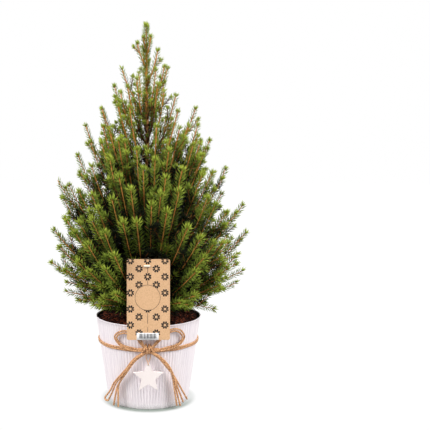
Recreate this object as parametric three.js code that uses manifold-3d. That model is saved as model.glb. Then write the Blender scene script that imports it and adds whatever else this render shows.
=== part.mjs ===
// A dwarf spruce in a whitewashed zinc planter, dressed with jute twine, a wooden star and a card label.
// Millimetres, +Z up. The origin is the centre of the planter's underside, and -Y is the front.

import * as THREE from "three";
import { mergeVertices } from "three/addons/utils/BufferGeometryUtils.js";
import Module from "manifold-3d";

const wasm = await Module();
wasm.setup();

// Driving dimensions.
const CLEARANCE = 0.3;
const FINENESSES = [1e-4, 1e-3, 3e-3]; // how finely a joined surface may later be read
const ROUND_SIDES = 36;
const FRONT = -Math.PI / 2;
const GOLDEN_ANGLE = THREE.MathUtils.degToRad(137.5);

const PLANTER = { height: 150, mouthRadius: 92.5, footRadius: 72, wall: 1.2, floor: 1.6, lipRadius: 1.7 };
const SOIL = { edgeDrop: 9, crown: 5, padRadius: 17 };
const TRUNK = {
  baseRadius: 6.6,
  tipRadius: 3.2,
  taperPower: 0.8,
  flare: 4.6,
  flareHeight: 8,
  lean: -4,
  bend: 2.2,
  topHeight: 508,
};
const CROWN = {
  boughs: 32,
  turn: THREE.MathUtils.degToRad(34),
  seed: 58240,
  footHeight: 160,
  topHeight: 677,
  footReach: 112,
  widestReach: 176,
  widestHeight: 300,
  taperPower: 0.76,
  rise: 166,
  limbs: 16,
  limbShare: 0.3,
};
const LABEL_BOUGH = { number: 20, height: 350, reach: 103 };
const NEEDLE = { length: 18, lean: THREE.MathUtils.degToRad(47), pitch: 13, tipShare: 0.6 };
const SHOOT = {
  lean: THREE.MathUtils.degToRad(42),
  lift: 0.2,
  stemRadius: 1.15,
  bodyRadius: 6.5,
  firstNeedle: 15,
  spacing: 23,
  longest: 68,
  shortest: 26,
  leading: 66,
};
const CORE = { radius: 13, sides: 4, rings: 4 };
const SPACE_GAP = 0.9;

const TWINE = { height: 107, strandRadius: 1.3, strands: 2 };
const BOW = { knotWidth: 13, knotHeight: 13, knotDepth: 8, bundleRadius: 2.1, strandRadius: 0.95 };
const STAR = { radius: 27.5, innerShare: 0.44, thickness: 3.6, topHeight: 91, holeRadius: 1, holeDrop: 6.5 };
const THREAD_RADIUS = 0.4;
const LABEL = {
  width: 72,
  height: 135,
  thickness: 0.7,
  bottom: 130,
  corner: 3,
  front: -108,
  holeRadius: 2.6,
  holeDrop: 12,
};
const TIE = { barLength: 9, barRadius: 1.3, filamentRadius: 0.6 };

// Finishes.
function finish(color, roughness, metalness = 0) {
  return new THREE.MeshStandardMaterial({ color, roughness, metalness });
}

const whitewashedZinc = finish(0xdedadd, 0.55, 0.3);
const barkMulch = finish(0x2e1a14, 0.95);
const trunkBark = finish(0x8a5a35, 0.85);
const shootBark = finish(0xb4713c, 0.8);
const needleGreen = finish(0x47682a, 0.6);
const juteTwine = finish(0xc79a69, 0.9);
const paintedWood = finish(0xf3ece6, 0.7);
const kraftCard = finish(0xd9b186, 0.85);
const whitePlastic = finish(0xf1ece2, 0.4);

// Solids.

/** A closed mesh as a solid that can be cut and joined. */
function solidOf(geometry) {
  const bare = geometry.index ? geometry.toNonIndexed() : geometry.clone();
  bare.deleteAttribute("normal");
  bare.deleteAttribute("uv");
  const merged = mergeVertices(bare, 1e-4);
  return new wasm.Manifold(
    new wasm.Mesh({
      numProp: 3,
      vertProperties: merged.attributes.position.array,
      triVerts: new Uint32Array(merged.index.array),
    }),
  );
}

/** A solid's surface, with points that fall together at a given fineness made one. */
function surfaceOf(solid, fineness) {
  const made = solid.getMesh();
  const geometry = new THREE.BufferGeometry();
  geometry.setAttribute("position", new THREE.BufferAttribute(made.vertProperties, 3));
  geometry.setIndex(new THREE.BufferAttribute(made.triVerts, 1));
  return mergeVertices(geometry, fineness);
}

/** True where each edge of a solid lies between just two of its faces, seen at the given fineness. */
function isClean(solid, fineness) {
  const corners = surfaceOf(solid, fineness).index.array;
  const uses = new Map();
  for (let face = 0; face < corners.length; face += 3) {
    const [a, b, c] = corners.subarray(face, face + 3);
    const edges = a === b || b === c || c === a ? [] : [[a, b], [b, c], [c, a]];
    for (const edge of edges) {
      const key = edge.sort((p, q) => p - q).join();
      uses.set(key, (uses.get(key) ?? 0) + 1);
    }
  }
  return [...uses.values()].every((count) => count === 2);
}

/** A solid as a named mesh. */
function meshOf(name, solid, material) {
  const geometry = surfaceOf(solid, 1e-5);
  geometry.computeVertexNormals();
  const mesh = new THREE.Mesh(geometry, material);
  mesh.name = name;
  return mesh;
}

/** Joins solids into one, and drops any loose scrap that a join leaves. */
function joined(solids) {
  const whole = solids.reduce((sum, next) => sum.add(next));
  return whole.decompose().sort((a, b) => b.volume() - a.volume())[0];
}

/** A solid of revolution about +Z from a profile of [radius, height] pairs, drawn upwards on its outside. */
function turned(profile, sides = ROUND_SIDES) {
  const points = profile.map(([radius, height]) => new THREE.Vector2(radius, height));
  return solidOf(new THREE.LatheGeometry(points, sides).rotateX(Math.PI / 2));
}

/** A round bar whose radius changes along a curve: a cylinder bent on to the curve. */
function bentBar(curve, radiusAt, sides, steps, across, fit = (centre, offset) => centre.add(offset)) {
  const geometry = new THREE.CylinderGeometry(1, 1, 1, sides, steps);
  const position = geometry.attributes.position;
  for (let i = 0; i < position.count; i += 1) {
    const share = position.getY(i) + 0.5;
    const tangent = curve.getTangent(share);
    const first = across.clone().addScaledVector(tangent, -across.dot(tangent)).normalize();
    const second = first.clone().cross(tangent);
    const offset = first.multiplyScalar(position.getX(i)).addScaledVector(second, position.getZ(i));
    const point = fit(curve.getPoint(share), offset.multiplyScalar(radiusAt(share)));
    position.setXYZ(i, point.x, point.y, point.z);
  }
  return solidOf(geometry);
}

/** A cord of one thickness along a curve. */
function cordAlong(curve, radius, sides, steps) {
  const section = new THREE.Shape();
  for (let i = 0; i < sides; i += 1) {
    const angle = (i / sides) * 2 * Math.PI;
    const method = i === 0 ? "moveTo" : "lineTo";
    section[method](radius * Math.cos(angle), radius * Math.sin(angle));
  }
  section.closePath();
  return solidOf(new THREE.ExtrudeGeometry(section, { steps, bevelEnabled: false, extrudePath: curve }));
}

// The seeded rule that the whole plant grows by.

/** A repeatable stream of numbers from 0 to 1. */
function makeRandom(seed) {
  let state = seed >>> 0;
  return () => {
    state = (state + 0x6d2b79f5) >>> 0;
    let mixed = Math.imul(state ^ (state >>> 15), state | 1);
    mixed ^= mixed + Math.imul(mixed ^ (mixed >>> 7), mixed | 61);
    return ((mixed ^ (mixed >>> 14)) >>> 0) / 4294967296;
  };
}

const soilEdge = PLANTER.height - SOIL.edgeDrop;
const soilTop = soilEdge + SOIL.crown;
const trunkFoot = soilTop + CLEARANCE;

/** The trunk's centre line at a height: a slight lean to the left and a slow bend. */
function trunkCentre(height) {
  const share = (height - trunkFoot) / (CROWN.topHeight - trunkFoot);
  return new THREE.Vector3(TRUNK.lean * share, TRUNK.bend * Math.sin(share * Math.PI), height);
}

/** The trunk's radius at a height: an even taper, with the root flare at its foot. */
function trunkRadius(height) {
  const share = Math.min(1, (height - trunkFoot) / (TRUNK.topHeight - trunkFoot));
  const taper = TRUNK.baseRadius + (TRUNK.tipRadius - TRUNK.baseRadius) * Math.pow(share, TRUNK.taperPower);
  return taper + TRUNK.flare * Math.exp(-(height - trunkFoot) / TRUNK.flareHeight);
}

/** How far the crown reaches from the trunk at a height. */
function crownReach(height) {
  if (height < CROWN.widestHeight) {
    const share = (height - CROWN.footHeight) / (CROWN.widestHeight - CROWN.footHeight);
    return CROWN.footReach + (CROWN.widestReach - CROWN.footReach) * Math.sin((share * Math.PI) / 2);
  }
  const share = (height - CROWN.widestHeight) / (CROWN.topHeight - CROWN.widestHeight);
  return CROWN.widestReach * Math.pow(Math.max(0, 1 - share), CROWN.taperPower);
}

/** Where the tip of bough number k goes: its height, its direction seen from above and its reach. */
function planTip(k, spread) {
  const level = 1 - Math.sqrt(1 - (k + 0.5) / CROWN.boughs);
  const height = CROWN.footHeight + level * (CROWN.topHeight - 26 - CROWN.footHeight) + 7 * spread();
  const azimuth = CROWN.turn + k * GOLDEN_ANGLE + 0.13 * spread();
  const reach = crownReach(height) * (0.96 + 0.1 * spread());
  if (k === LABEL_BOUGH.number) return { ...LABEL_BOUGH, azimuth: FRONT };
  // The front shoots stand back behind the label.
  const isBehindLabel = Math.cos(azimuth - FRONT) > 0.82 && height < 330;
  return { height, azimuth, reach: isBehindLabel ? Math.min(reach, -LABEL.front - 20) : reach };
}

/**
 * Bough number k: its line from the trunk to its tip, and the sizes that its limb and shoots share.
 * Low boughs leave the trunk level and hang over at their tips; higher ones stand ever more upright.
 */
function planBough(k) {
  const random = makeRandom(CROWN.seed + k);
  const spread = () => 2 * random() - 1;
  const { height, azimuth, reach } = planTip(k, spread);
  const share = Math.max(0, (height - CROWN.footHeight) / (CROWN.topHeight - CROWN.footHeight));
  const attach = height - CROWN.rise * Math.sin((Math.PI * share) / 1.08);
  const tipLean = THREE.MathUtils.degToRad(15 + 90 * Math.exp(-4.95 * share) + 5 * spread());
  const startLean = THREE.MathUtils.degToRad(88 - 50 * share);
  const sweep = 0.16 * spread();

  const outward = (turn) => new THREE.Vector3(Math.cos(azimuth + turn), Math.sin(azimuth + turn), 0);
  const along = (lean, turn) => outward(turn).multiplyScalar(Math.sin(lean)).setZ(Math.cos(lean));
  const foot = trunkCentre(attach);
  const tip = trunkCentre(attach).addScaledVector(outward(sweep), reach).setZ(height);
  const handle = 0.36 * foot.distanceTo(tip);
  const line = new THREE.CubicBezierCurve3(
    foot,
    foot.clone().addScaledVector(along(startLean, 0), handle),
    tip.clone().addScaledVector(along(tipLean, sweep), -handle),
    tip,
  );
  const length = line.getLength();
  const across = new THREE.Vector3(Math.sin(azimuth), -Math.cos(azimuth), 0);
  const footRadius = 1.35 + 0.0062 * length;
  const radiusAt = (t) => footRadius + (SHOOT.stemRadius - footRadius) * Math.pow(t, 0.75);
  return { k, line, length, across, radiusAt, startLean, attach };
}

const boughs = Array.from({ length: CROWN.boughs }, (_, k) => planBough(k));

/** The share of a bough's line at which it comes clear of the trunk. */
function clearOfTrunk({ line, radiusAt, startLean, attach }) {
  const radius = radiusAt(0);
  const away = trunkRadius(attach) + CLEARANCE + radius * Math.cos(startLean);
  let share = 0;
  while (line.getPoint(share).setZ(0).distanceTo(trunkCentre(attach).setZ(0)) < away) share += 0.0005;
  return share;
}

// The longest boughs, and the one that carries the label, have a bare limb of their own.
const labelBough = boughs[LABEL_BOUGH.number];
const otherBoughs = boughs.filter((bough) => bough !== labelBough).sort((a, b) => b.length - a.length);
const limbBoughs = [labelBough, ...otherBoughs.slice(0, CROWN.limbs - 1)];
for (const bough of boughs) {
  bough.start = clearOfTrunk(bough);
  bough.hasLimb = limbBoughs.includes(bough);
  bough.limbEnd = bough.hasLimb ? CROWN.limbShare : bough.start;
}

// The label hangs on its own bough, at the place closest behind the hole in its card.
const labelHole = new THREE.Vector3(0, LABEL.front, LABEL.bottom + LABEL.height - LABEL.holeDrop);
const fromHole = (share) => labelBough.line.getPoint(share).distanceTo(labelHole);
const limbShares = Array.from({ length: 80 }, (_, i) => 0.1 + 0.01 * i);
const hangingShare = limbShares.reduce((best, share) => (fromHole(share) < fromHole(best) ? share : best));
const hangingPoint = labelBough.line.getPoint(hangingShare);
labelBough.limbEnd = Math.max(CROWN.limbShare, hangingShare + 0.05);

// Each mass of needles keeps to the space that is nearer to its own bough than to any other.
const leaderFoot = trunkCentre(TRUNK.topHeight + CLEARANCE);
const leaderTip = trunkCentre(CROWN.topHeight - NEEDLE.length * NEEDLE.tipShare);
const leaderLine = new THREE.LineCurve3(leaderFoot, leaderTip);
const spaces = boughs.map(({ line }) => line.getPoints(14));
const leaderSpace = spaces.push(leaderLine.getPoints(4)) - 1;

/** How far a point is from a run of points joined by straight lines. */
function distanceTo(run, point) {
  let nearest = Infinity;
  const onRun = new THREE.Vector3();
  for (let i = 1; i < run.length; i += 1) {
    new THREE.Line3(run[i - 1], run[i]).closestPointToPoint(point, true, onRun);
    nearest = Math.min(nearest, onRun.distanceTo(point));
  }
  return nearest;
}

/** True where a point of foliage is clear of the trunk, the planter, the soil, the label and its tie. */
function isFree(point) {
  const radius = Math.hypot(point.x, point.y);
  const centre = trunkCentre(Math.max(trunkFoot, point.z));
  const fromTrunk = Math.hypot(point.x - centre.x, point.y - centre.y);
  const hitsTrunk = point.z < TRUNK.topHeight + 1 && fromTrunk < trunkRadius(point.z) + 1.6;
  const hitsPlanter = point.z < (radius > 80 ? PLANTER.height : soilTop) + 2;
  const hitsLabel = Math.abs(point.x) < LABEL.width / 2 + 9 && point.y < LABEL.front + 7 && point.z < 274;
  const hitsTie = distanceTo([labelHole, hangingPoint], point) < 12;
  return !(hitsTrunk || hitsPlanter || hitsLabel || hitsTie);
}

/** True where a point lies in the space of one mass, and is free. */
function isInSpace(point, own) {
  if (!isFree(point)) return false;
  const limit = distanceTo(spaces[own], point) + SPACE_GAP;
  return spaces.every((run, other) => other === own || distanceTo(run, point) > limit);
}

// Foliage.

/** How thick the dense inner needles make a shoot, at a share of its length. */
function bodyRadius(share) {
  return SHOOT.stemRadius + (SHOOT.bodyRadius - SHOOT.stemRadius) * Math.sin(Math.PI * share);
}

/** One edge of a spray: the needles' roots and tips, each {x, out} along the stem and away from it. */
function needleEdge(length, firstNeedle, offset) {
  const edge = [{ x: 0, out: SHOOT.stemRadius }];
  const count = Math.floor((length - firstNeedle) / NEEDLE.pitch);
  for (let i = 0; i < count; i += 1) {
    const root = firstNeedle + (i + offset) * NEEDLE.pitch;
    const needle = NEEDLE.length * (1 - 0.3 * Math.pow(root / length, 3));
    edge.push({ x: root, out: 0.6 * bodyRadius(root / length) });
    edge.push({
      x: root + needle * Math.cos(NEEDLE.lean),
      out: SHOOT.stemRadius + needle * Math.sin(NEEDLE.lean),
      isTip: true,
    });
  }
  return edge;
}

/** Faces between two rows of points that end in one shared point. Each point is {x, index}. */
function stripBetween(outer, inner, end, flip, faces) {
  const add = (a, b, c) => faces.push(...(flip ? [a, b, c] : [a, c, b]));
  let i = 0;
  let j = 0;
  while (i < outer.length - 1 || j < inner.length - 1) {
    const outerNext = i < outer.length - 1 ? outer[i + 1].x : Infinity;
    const innerNext = j < inner.length - 1 ? inner[j + 1].x : Infinity;
    if (outerNext <= innerNext) {
      add(outer[i].index, outer[i + 1].index, inner[j].index);
      i += 1;
    } else {
      add(outer[i].index, inner[j + 1].index, inner[j].index);
      j += 1;
    }
  }
  add(outer[i].index, end, inner[j].index);
}

/** A shoot's needles: a toothed blade along it, thickest at the stem, its needles cut back to their space. */
function needleSpray(curve, across, firstNeedle, stations, own) {
  const length = curve.getLength();
  const points = [];
  const pointAt = (x, out, thick) => {
    const share = Math.min(1, x / length);
    const tangent = curve.getTangentAt(share);
    const side = across.clone().addScaledVector(tangent, -across.dot(tangent)).normalize();
    const face = tangent.clone().cross(side);
    const point = curve.getPointAt(share).addScaledVector(tangent, Math.max(0, x - length));
    return point.addScaledVector(side, out).addScaledVector(face, thick);
  };
  const place = (x, out, thick, canShrink) => {
    const isRoomy = (part) => isInSpace(pointAt(x, out * part, thick * part), own);
    const room = canShrink ? [1, 0.75, 0.5].find(isRoomy) ?? 0.25 : 1;
    points.push(pointAt(x, out * room, thick * room));
    return { x, index: points.length - 1 };
  };
  const right = needleEdge(length, firstNeedle, 0).map(({ x, out, isTip }) => place(x, out, 0, isTip));
  const left = needleEdge(length, firstNeedle, 0.5).map(({ x, out, isTip }) => place(x, -out, 0, isTip));
  const spine = Array.from({ length: stations }, (_, i) => (i / stations) * length);
  const front = spine.map((x) => place(x, 0, bodyRadius(x / length), x > 0));
  const back = spine.map((x) => place(x, 0, -bodyRadius(x / length), x > 0));
  const end = place(length + NEEDLE.length * NEEDLE.tipShare, 0, 0, false).index;

  const faces = [];
  stripBetween(right, front, end, false, faces);
  stripBetween(left, front, end, true, faces);
  stripBetween(right, back, end, true, faces);
  stripBetween(left, back, end, false, faces);
  faces.push(right[0].index, left[0].index, front[0].index);
  faces.push(right[0].index, back[0].index, left[0].index);

  const geometry = new THREE.BufferGeometry().setFromPoints(points);
  geometry.setIndex(faces);
  return solidOf(geometry);
}

/** The part of a curve between two shares of it, as a curve of its own. */
function partOf(curve, from, to, steps = 8) {
  const shares = Array.from({ length: steps + 1 }, (_, i) => from + ((to - from) * i) / steps);
  return new THREE.CatmullRomCurve3(shares.map((share) => curve.getPoint(share)));
}

/** A side shoot that leaves a stem at a share of it, or null where it has no room at any length. */
function growShoot(stem, share, roll, wanted, own, random) {
  const foot = stem.getPoint(share);
  const tangent = stem.getTangent(share);
  const level = new THREE.Vector3(tangent.y, -tangent.x, 0).normalize();
  const out = level.applyAxisAngle(tangent, roll).multiplyScalar(Math.sin(SHOOT.lean));
  const direction = tangent.clone().multiplyScalar(Math.cos(SHOOT.lean)).add(out);
  direction.z += SHOOT.lift;
  direction.normalize();
  const across = direction.clone().cross(tangent).normalize();
  across.applyAxisAngle(direction, 2.6 * (random() - 0.5));
  const pointAt = (distance) => foot.clone().addScaledVector(direction, distance);
  const isClear = (length) => {
    const distances = [0.3, 0.5, 0.7, 0.85].map((part) => part * length);
    return [...distances, length + NEEDLE.length * NEEDLE.tipShare].every((x) => isInSpace(pointAt(x), own));
  };
  const length = [1, 0.8, 0.64].map((part) => part * wanted).find((x) => x >= SHOOT.shortest && isClear(x));
  if (!length) return null;
  return needleSpray(new THREE.LineCurve3(foot, pointAt(length)), across, SHOOT.firstNeedle, 2, own);
}

/** The dense heart of a mass: a slim core round its stem, drawn in wherever its space is narrow. */
function growCore(stem, across, own) {
  const fit = (centre, offset) => {
    const isRoomy = (part) => isInSpace(centre.clone().addScaledVector(offset, part), own);
    return centre.addScaledVector(offset, [1, 0.75, 0.5].find(isRoomy) ?? 0.25);
  };
  const radiusAt = (share) => SHOOT.stemRadius + (CORE.radius - SHOOT.stemRadius) * Math.sin(Math.PI * share);
  return bentBar(stem, radiusAt, CORE.sides, CORE.rings, across, fit);
}

/** One mass: its stem, its core, its leading shoot, and side shoots turned by the golden angle. */
function growMass({ stem, across, radiusAt, own, seed, spacing, firstShoot }) {
  const random = makeRandom(seed);
  const length = stem.getLength();
  const leadFrom = Math.max(0.1, 1 - SHOOT.leading / length);
  const stemEnd = leadFrom + 0.09;
  const pieces = [bentBar(partOf(stem, 0, stemEnd), (share) => radiusAt(stemEnd * share), 3, 3, across)];
  pieces.push(growCore(partOf(stem, 0.12, leadFrom + 0.2), across, own));
  pieces.push(needleSpray(partOf(stem, leadFrom, 1), across, 10, 3, own));
  const firstRoll = random() * 2 * Math.PI;
  const count = Math.round((length * (0.88 - firstShoot)) / spacing);
  for (let i = 0; i < count; i += 1) {
    const share = firstShoot + (0.88 - firstShoot) * ((i + 0.5 * random()) / count);
    const wanted = Math.min(0.5 * length * (1 - share) + 24 + 8 * random(), SHOOT.longest);
    const shoot = growShoot(stem, share, firstRoll + i * GOLDEN_ANGLE, wanted, own, random);
    if (shoot) pieces.push(shoot);
  }
  return joined(pieces);
}

/** A mass from the first seed whose join is clean at every fineness that it may be read at. */
function growCleanMass(plan) {
  const tries = Array.from({ length: 12 }, (_, i) => plan.seed + 1000 * i);
  const masses = tries.values().map((seed) => growMass({ ...plan, seed }));
  return masses.find((solid) => FINENESSES.every((fineness) => isClean(solid, fineness)));
}

/** The mass on bough number k, from the end of its limb or from the trunk to its tip. */
function makeBoughMass({ k, line, length, across, radiusAt, hasLimb, limbEnd, start }) {
  const from = hasLimb ? limbEnd + CLEARANCE / length : start;
  const solid = growCleanMass({
    stem: partOf(line, from, 1),
    across,
    radiusAt: (share) => radiusAt(from + (1 - from) * share),
    own: k,
    seed: CROWN.seed + 200 + k,
    spacing: SHOOT.spacing,
    firstShoot: hasLimb ? 0.08 : 0.16,
  });
  return meshOf(`foliage_${k + 1}`, solid, needleGreen);
}

/** The top of the tree, on the end of the trunk: the leader with its ring of short side shoots. */
function makeLeaderMass() {
  const solid = growCleanMass({
    stem: leaderLine,
    across: new THREE.Vector3(1, 0, 0),
    radiusAt: (share) => TRUNK.tipRadius + (SHOOT.stemRadius - TRUNK.tipRadius) * share,
    own: leaderSpace,
    seed: CROWN.seed + 300,
    spacing: 0.48 * SHOOT.spacing,
    firstShoot: 0.04,
  });
  return meshOf("foliage_leader", solid, needleGreen);
}

function makeLimbs() {
  return boughs
    .filter((bough) => bough.hasLimb)
    .map((bough) => {
      const part = partOf(bough.line, bough.start, bough.limbEnd, 6);
      const radiusAt = (share) => bough.radiusAt(bough.start + (bough.limbEnd - bough.start) * share);
      return meshOf(`bough_${bough.k + 1}`, bentBar(part, radiusAt, 6, 3, bough.across), shootBark);
    });
}

function makeTrunk() {
  const flareSteps = [0, 0.008, 0.02, 0.045];
  const evenSteps = Array.from({ length: 7 }, (_, i) => 0.1 + (0.9 * i) / 6);
  const shares = [...flareSteps, ...evenSteps];
  const heights = shares.map((share) => trunkFoot + (TRUNK.topHeight - trunkFoot) * share);
  const line = new THREE.CatmullRomCurve3(heights.map((height) => trunkCentre(height)));
  const radiusAt = (share) => trunkRadius(heights[Math.round(share * (heights.length - 1))]);
  const solid = bentBar(line, radiusAt, 10, heights.length - 1, new THREE.Vector3(1, 0, 0));
  return meshOf("trunk", solid, trunkBark);
}

// Planter and soil.

/** The planter's outer radius at a height. */
function wallRadius(height) {
  return PLANTER.footRadius + ((PLANTER.mouthRadius - PLANTER.footRadius) * height) / PLANTER.height;
}

function makePlanter() {
  const { height, wall, floor, lipRadius } = PLANTER;
  const lipHeight = height - lipRadius;
  const lipCentre = wallRadius(lipHeight) + 0.4;
  const lip = [-90, -25, 40, 105, 170].map((degrees) => {
    const angle = THREE.MathUtils.degToRad(degrees);
    return [lipCentre + lipRadius * Math.cos(angle), lipHeight + lipRadius * Math.sin(angle)];
  });
  const profile = [
    [0, 0],
    [PLANTER.footRadius - 1.2, 0],
    [wallRadius(1.2), 1.2],
    [wallRadius(lipHeight - 3), lipHeight - 3],
    ...lip,
    [wallRadius(lipHeight - 3) - wall, lipHeight - 3],
    [wallRadius(floor) - wall, floor],
    [0, floor],
  ];
  return meshOf("planter", turned(profile), whitewashedZinc);
}

function makeSoil() {
  const { wall, floor } = PLANTER;
  const inner = (height) => wallRadius(height) - wall - CLEARANCE - 0.2;
  const profile = [
    [0, floor + CLEARANCE],
    [inner(floor) - 0.5, floor + CLEARANCE],
    [inner(soilEdge), soilEdge],
    [inner(soilEdge) * 0.6, soilEdge + SOIL.crown * 0.75],
    [SOIL.padRadius, soilTop],
    [0, soilTop],
  ];
  return meshOf("soil", turned(profile), barkMulch);
}

// Twine, bow and star.

/** A point on the front of the planter, x to the right of its middle and standing off its wall. */
function onFront(x, height, standoff) {
  const radius = wallRadius(height) + standoff;
  return new THREE.Vector3(x, -Math.sqrt(radius * radius - x * x), height);
}

function makeTwineBand() {
  const { height, strandRadius, strands } = TWINE;
  const centres = Array.from({ length: strands }, (_, i) => height + (2 * i + 1 - strands) * strandRadius);
  const inside = (z) => [wallRadius(z) + CLEARANCE, z];
  const outside = (z) => [wallRadius(z) + CLEARANCE + 1.8 * strandRadius, z];
  const crowns = centres.flatMap((z) => [outside(z - 0.5 * strandRadius), outside(z + 0.5 * strandRadius)]);
  const lowest = inside(height - strands * strandRadius);
  const profile = [lowest, ...crowns, inside(height + strands * strandRadius), lowest];
  return meshOf("twine_band", turned(profile), juteTwine);
}

/** One side of the bow, seen from the front: side is -1 on the left and 1 on the right. */
function bowLoop(side) {
  const [out, top] = side < 0 ? [56, 139] : [60, 142];
  const stops = [
    [2, 111, 9],
    [16, 109, 8],
    [34, 111, 7.5],
    [out - 8, 116, 7],
    [out, 127, 7],
    [out - 7, top - 3, 7],
    [out - 20, top, 7.5],
    [out - 36, 133, 8],
    [8, 116, 9],
    [2, 112, 9],
  ];
  return new THREE.CatmullRomCurve3(stops.map(([x, z, off]) => onFront(side * x, z, off)));
}

/** One tail of the bow: a bundle from the knot, and the strands that it parts into. */
function bowTail(side) {
  const left = side < 0;
  const bundleStops = [
    [3, 107, 9],
    [left ? 23 : 19, left ? 92 : 96, 9],
    [left ? 38 : 34, left ? 71 : 78, 11],
    [left ? 54 : 43, left ? 46 : 60, 13],
  ];
  const ends = left
    ? [[75, 19, 21], [70, 15, 20], [60, 9, 18], [52, 7, 16]]
    : [[66, 19, 20], [58, 15, 18], [53, 9, 17], [46, 10, 15]];
  const bundle = new THREE.CatmullRomCurve3(bundleStops.map(([x, z, off]) => onFront(side * x, z, off)));
  const parting = bundle.getPoint(0.86);
  const strands = ends.map(([x, z, off]) => {
    const end = onFront(side * x, z, off);
    const bend = parting.clone().lerp(end, 0.5).add(new THREE.Vector3(-side * 1.5, -1.5, 0));
    return cordAlong(new THREE.CatmullRomCurve3([parting, bend, end]), BOW.strandRadius, 3, 3);
  });
  return [cordAlong(bundle, BOW.bundleRadius, 5, 5), ...strands];
}

const bandFront = wallRadius(TWINE.height) + CLEARANCE + TWINE.strandRadius * 1.8;
const knotCentre = new THREE.Vector3(0, -(bandFront + CLEARANCE + 0.2 + BOW.knotDepth / 2), TWINE.height + 4);

function makeBow() {
  const knot = new THREE.SphereGeometry(1, 8, 6)
    .scale(BOW.knotWidth / 2, BOW.knotDepth / 2, BOW.knotHeight / 2)
    .translate(knotCentre.x, knotCentre.y, knotCentre.z);
  const loops = [-1, 1].map((side) => cordAlong(bowLoop(side), BOW.bundleRadius, 5, 15));
  const tails = [-1, 1].flatMap((side) => bowTail(side));
  return meshOf("twine_bow", joined([solidOf(knot), ...loops, ...tails]), juteTwine);
}

const starPlane = knotCentre.y - 1.5;
const starHole = new THREE.Vector3(0, starPlane, STAR.topHeight - STAR.holeDrop);

function makeStar() {
  const shape = new THREE.Shape();
  for (let i = 0; i < 10; i += 1) {
    const radius = i % 2 === 0 ? STAR.radius : STAR.radius * STAR.innerShare;
    const angle = Math.PI / 2 + (i * Math.PI) / 5;
    const method = i === 0 ? "moveTo" : "lineTo";
    shape[method](radius * Math.cos(angle), radius * Math.sin(angle) - STAR.radius);
  }
  shape.closePath();
  const hole = new THREE.Path().absarc(0, -STAR.holeDrop, STAR.holeRadius, 0, 2 * Math.PI, true);
  shape.holes.push(hole);
  const settings = { depth: STAR.thickness, bevelEnabled: false, curveSegments: 10 };
  const geometry = new THREE.ExtrudeGeometry(shape, settings)
    .translate(0, 0, -STAR.thickness / 2)
    .rotateX(Math.PI / 2)
    .translate(0, starPlane, STAR.topHeight);
  return meshOf("wooden_star", solidOf(geometry), paintedWood);
}

/** The thin loop that the star hangs on: from under the knot, through the star and back up behind it. */
function makeStarThread() {
  const under = knotCentre.z - BOW.knotHeight / 2 - CLEARANCE;
  const clear = STAR.thickness / 2 + THREAD_RADIUS + 0.4;
  const stops = [
    [-2.6, starPlane - 1, under],
    [-4, starPlane - 1.5, under - 6],
    [-1.6, starPlane - clear, STAR.topHeight],
    [0, starPlane - clear + 0.6, starHole.z + 0.8],
    [0, starPlane, starHole.z],
    [0, starPlane + clear - 0.6, starHole.z + 0.8],
    [1.6, starPlane + clear, STAR.topHeight],
    [4, starPlane + 1.5, under - 6],
    [2.6, starPlane + 1, under],
  ];
  const curve = new THREE.CatmullRomCurve3(stops.map(([x, y, z]) => new THREE.Vector3(x, y, z)));
  return meshOf("star_thread", cordAlong(curve, THREAD_RADIUS, 4, 20), juteTwine);
}

// Label and its tie.

function makeLabel() {
  const { width, height, corner, thickness, bottom, front, holeRadius } = LABEL;
  const right = width / 2;
  const shape = new THREE.Shape()
    .moveTo(-right + corner, 0)
    .absarc(right - corner, corner, corner, -Math.PI / 2, 0)
    .absarc(right - corner, height - corner, corner, 0, Math.PI / 2)
    .absarc(-right + corner, height - corner, corner, Math.PI / 2, Math.PI)
    .absarc(-right + corner, corner, corner, Math.PI, 1.5 * Math.PI);
  shape.holes.push(new THREE.Path().absarc(0, labelHole.z - bottom, holeRadius, 0, 2 * Math.PI, true));
  const settings = { depth: thickness, bevelEnabled: false, curveSegments: 4 };
  const geometry = new THREE.ExtrudeGeometry(shape, settings)
    .translate(0, 0, -thickness / 2)
    .rotateX(Math.PI / 2)
    .translate(0, front, bottom);
  return meshOf("label_card", solidOf(geometry), kraftCard);
}

/** The white tie: a bar across the card's hole, a thin filament, and a ring round the limb behind. */
function makeLabelTie() {
  const barPlace = labelHole.clone().setY(labelHole.y - LABEL.thickness / 2 - CLEARANCE - TIE.barRadius);
  const bar = new THREE.CapsuleGeometry(TIE.barRadius, TIE.barLength, 2, 6)
    .rotateZ(Math.PI / 2)
    .translate(barPlace.x, barPlace.y, barPlace.z);
  const ringRadius = labelBough.radiusAt(hangingShare) + CLEARANCE + 0.2 + TIE.filamentRadius;
  const tangent = labelBough.line.getTangent(hangingShare);
  const turn = new THREE.Quaternion().setFromUnitVectors(new THREE.Vector3(0, 0, 1), tangent);
  const ring = new THREE.TorusGeometry(ringRadius, TIE.filamentRadius, 4, 10)
    .applyQuaternion(turn)
    .translate(hangingPoint.x, hangingPoint.y, hangingPoint.z);
  const toHole = labelHole.clone().sub(hangingPoint);
  const ringSpoke = toHole.addScaledVector(tangent, -toHole.dot(tangent)).setLength(ringRadius);
  const behind = labelHole.clone().setY(labelHole.y + 3);
  const filament = new THREE.CatmullRomCurve3([barPlace, behind, ringSpoke.add(hangingPoint)]);
  const pieces = [solidOf(bar), solidOf(ring), cordAlong(filament, TIE.filamentRadius, 4, 6)];
  return meshOf("label_tie", joined(pieces), whitePlastic);
}

const spruce = new THREE.Group();
spruce.add(makePlanter(), makeSoil(), makeTrunk(), ...makeLimbs());
spruce.add(...boughs.map(makeBoughMass), makeLeaderMass());
spruce.add(makeTwineBand(), makeBow(), makeStar(), makeStarThread(), makeLabel(), makeLabelTie());

export default spruce;
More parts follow.
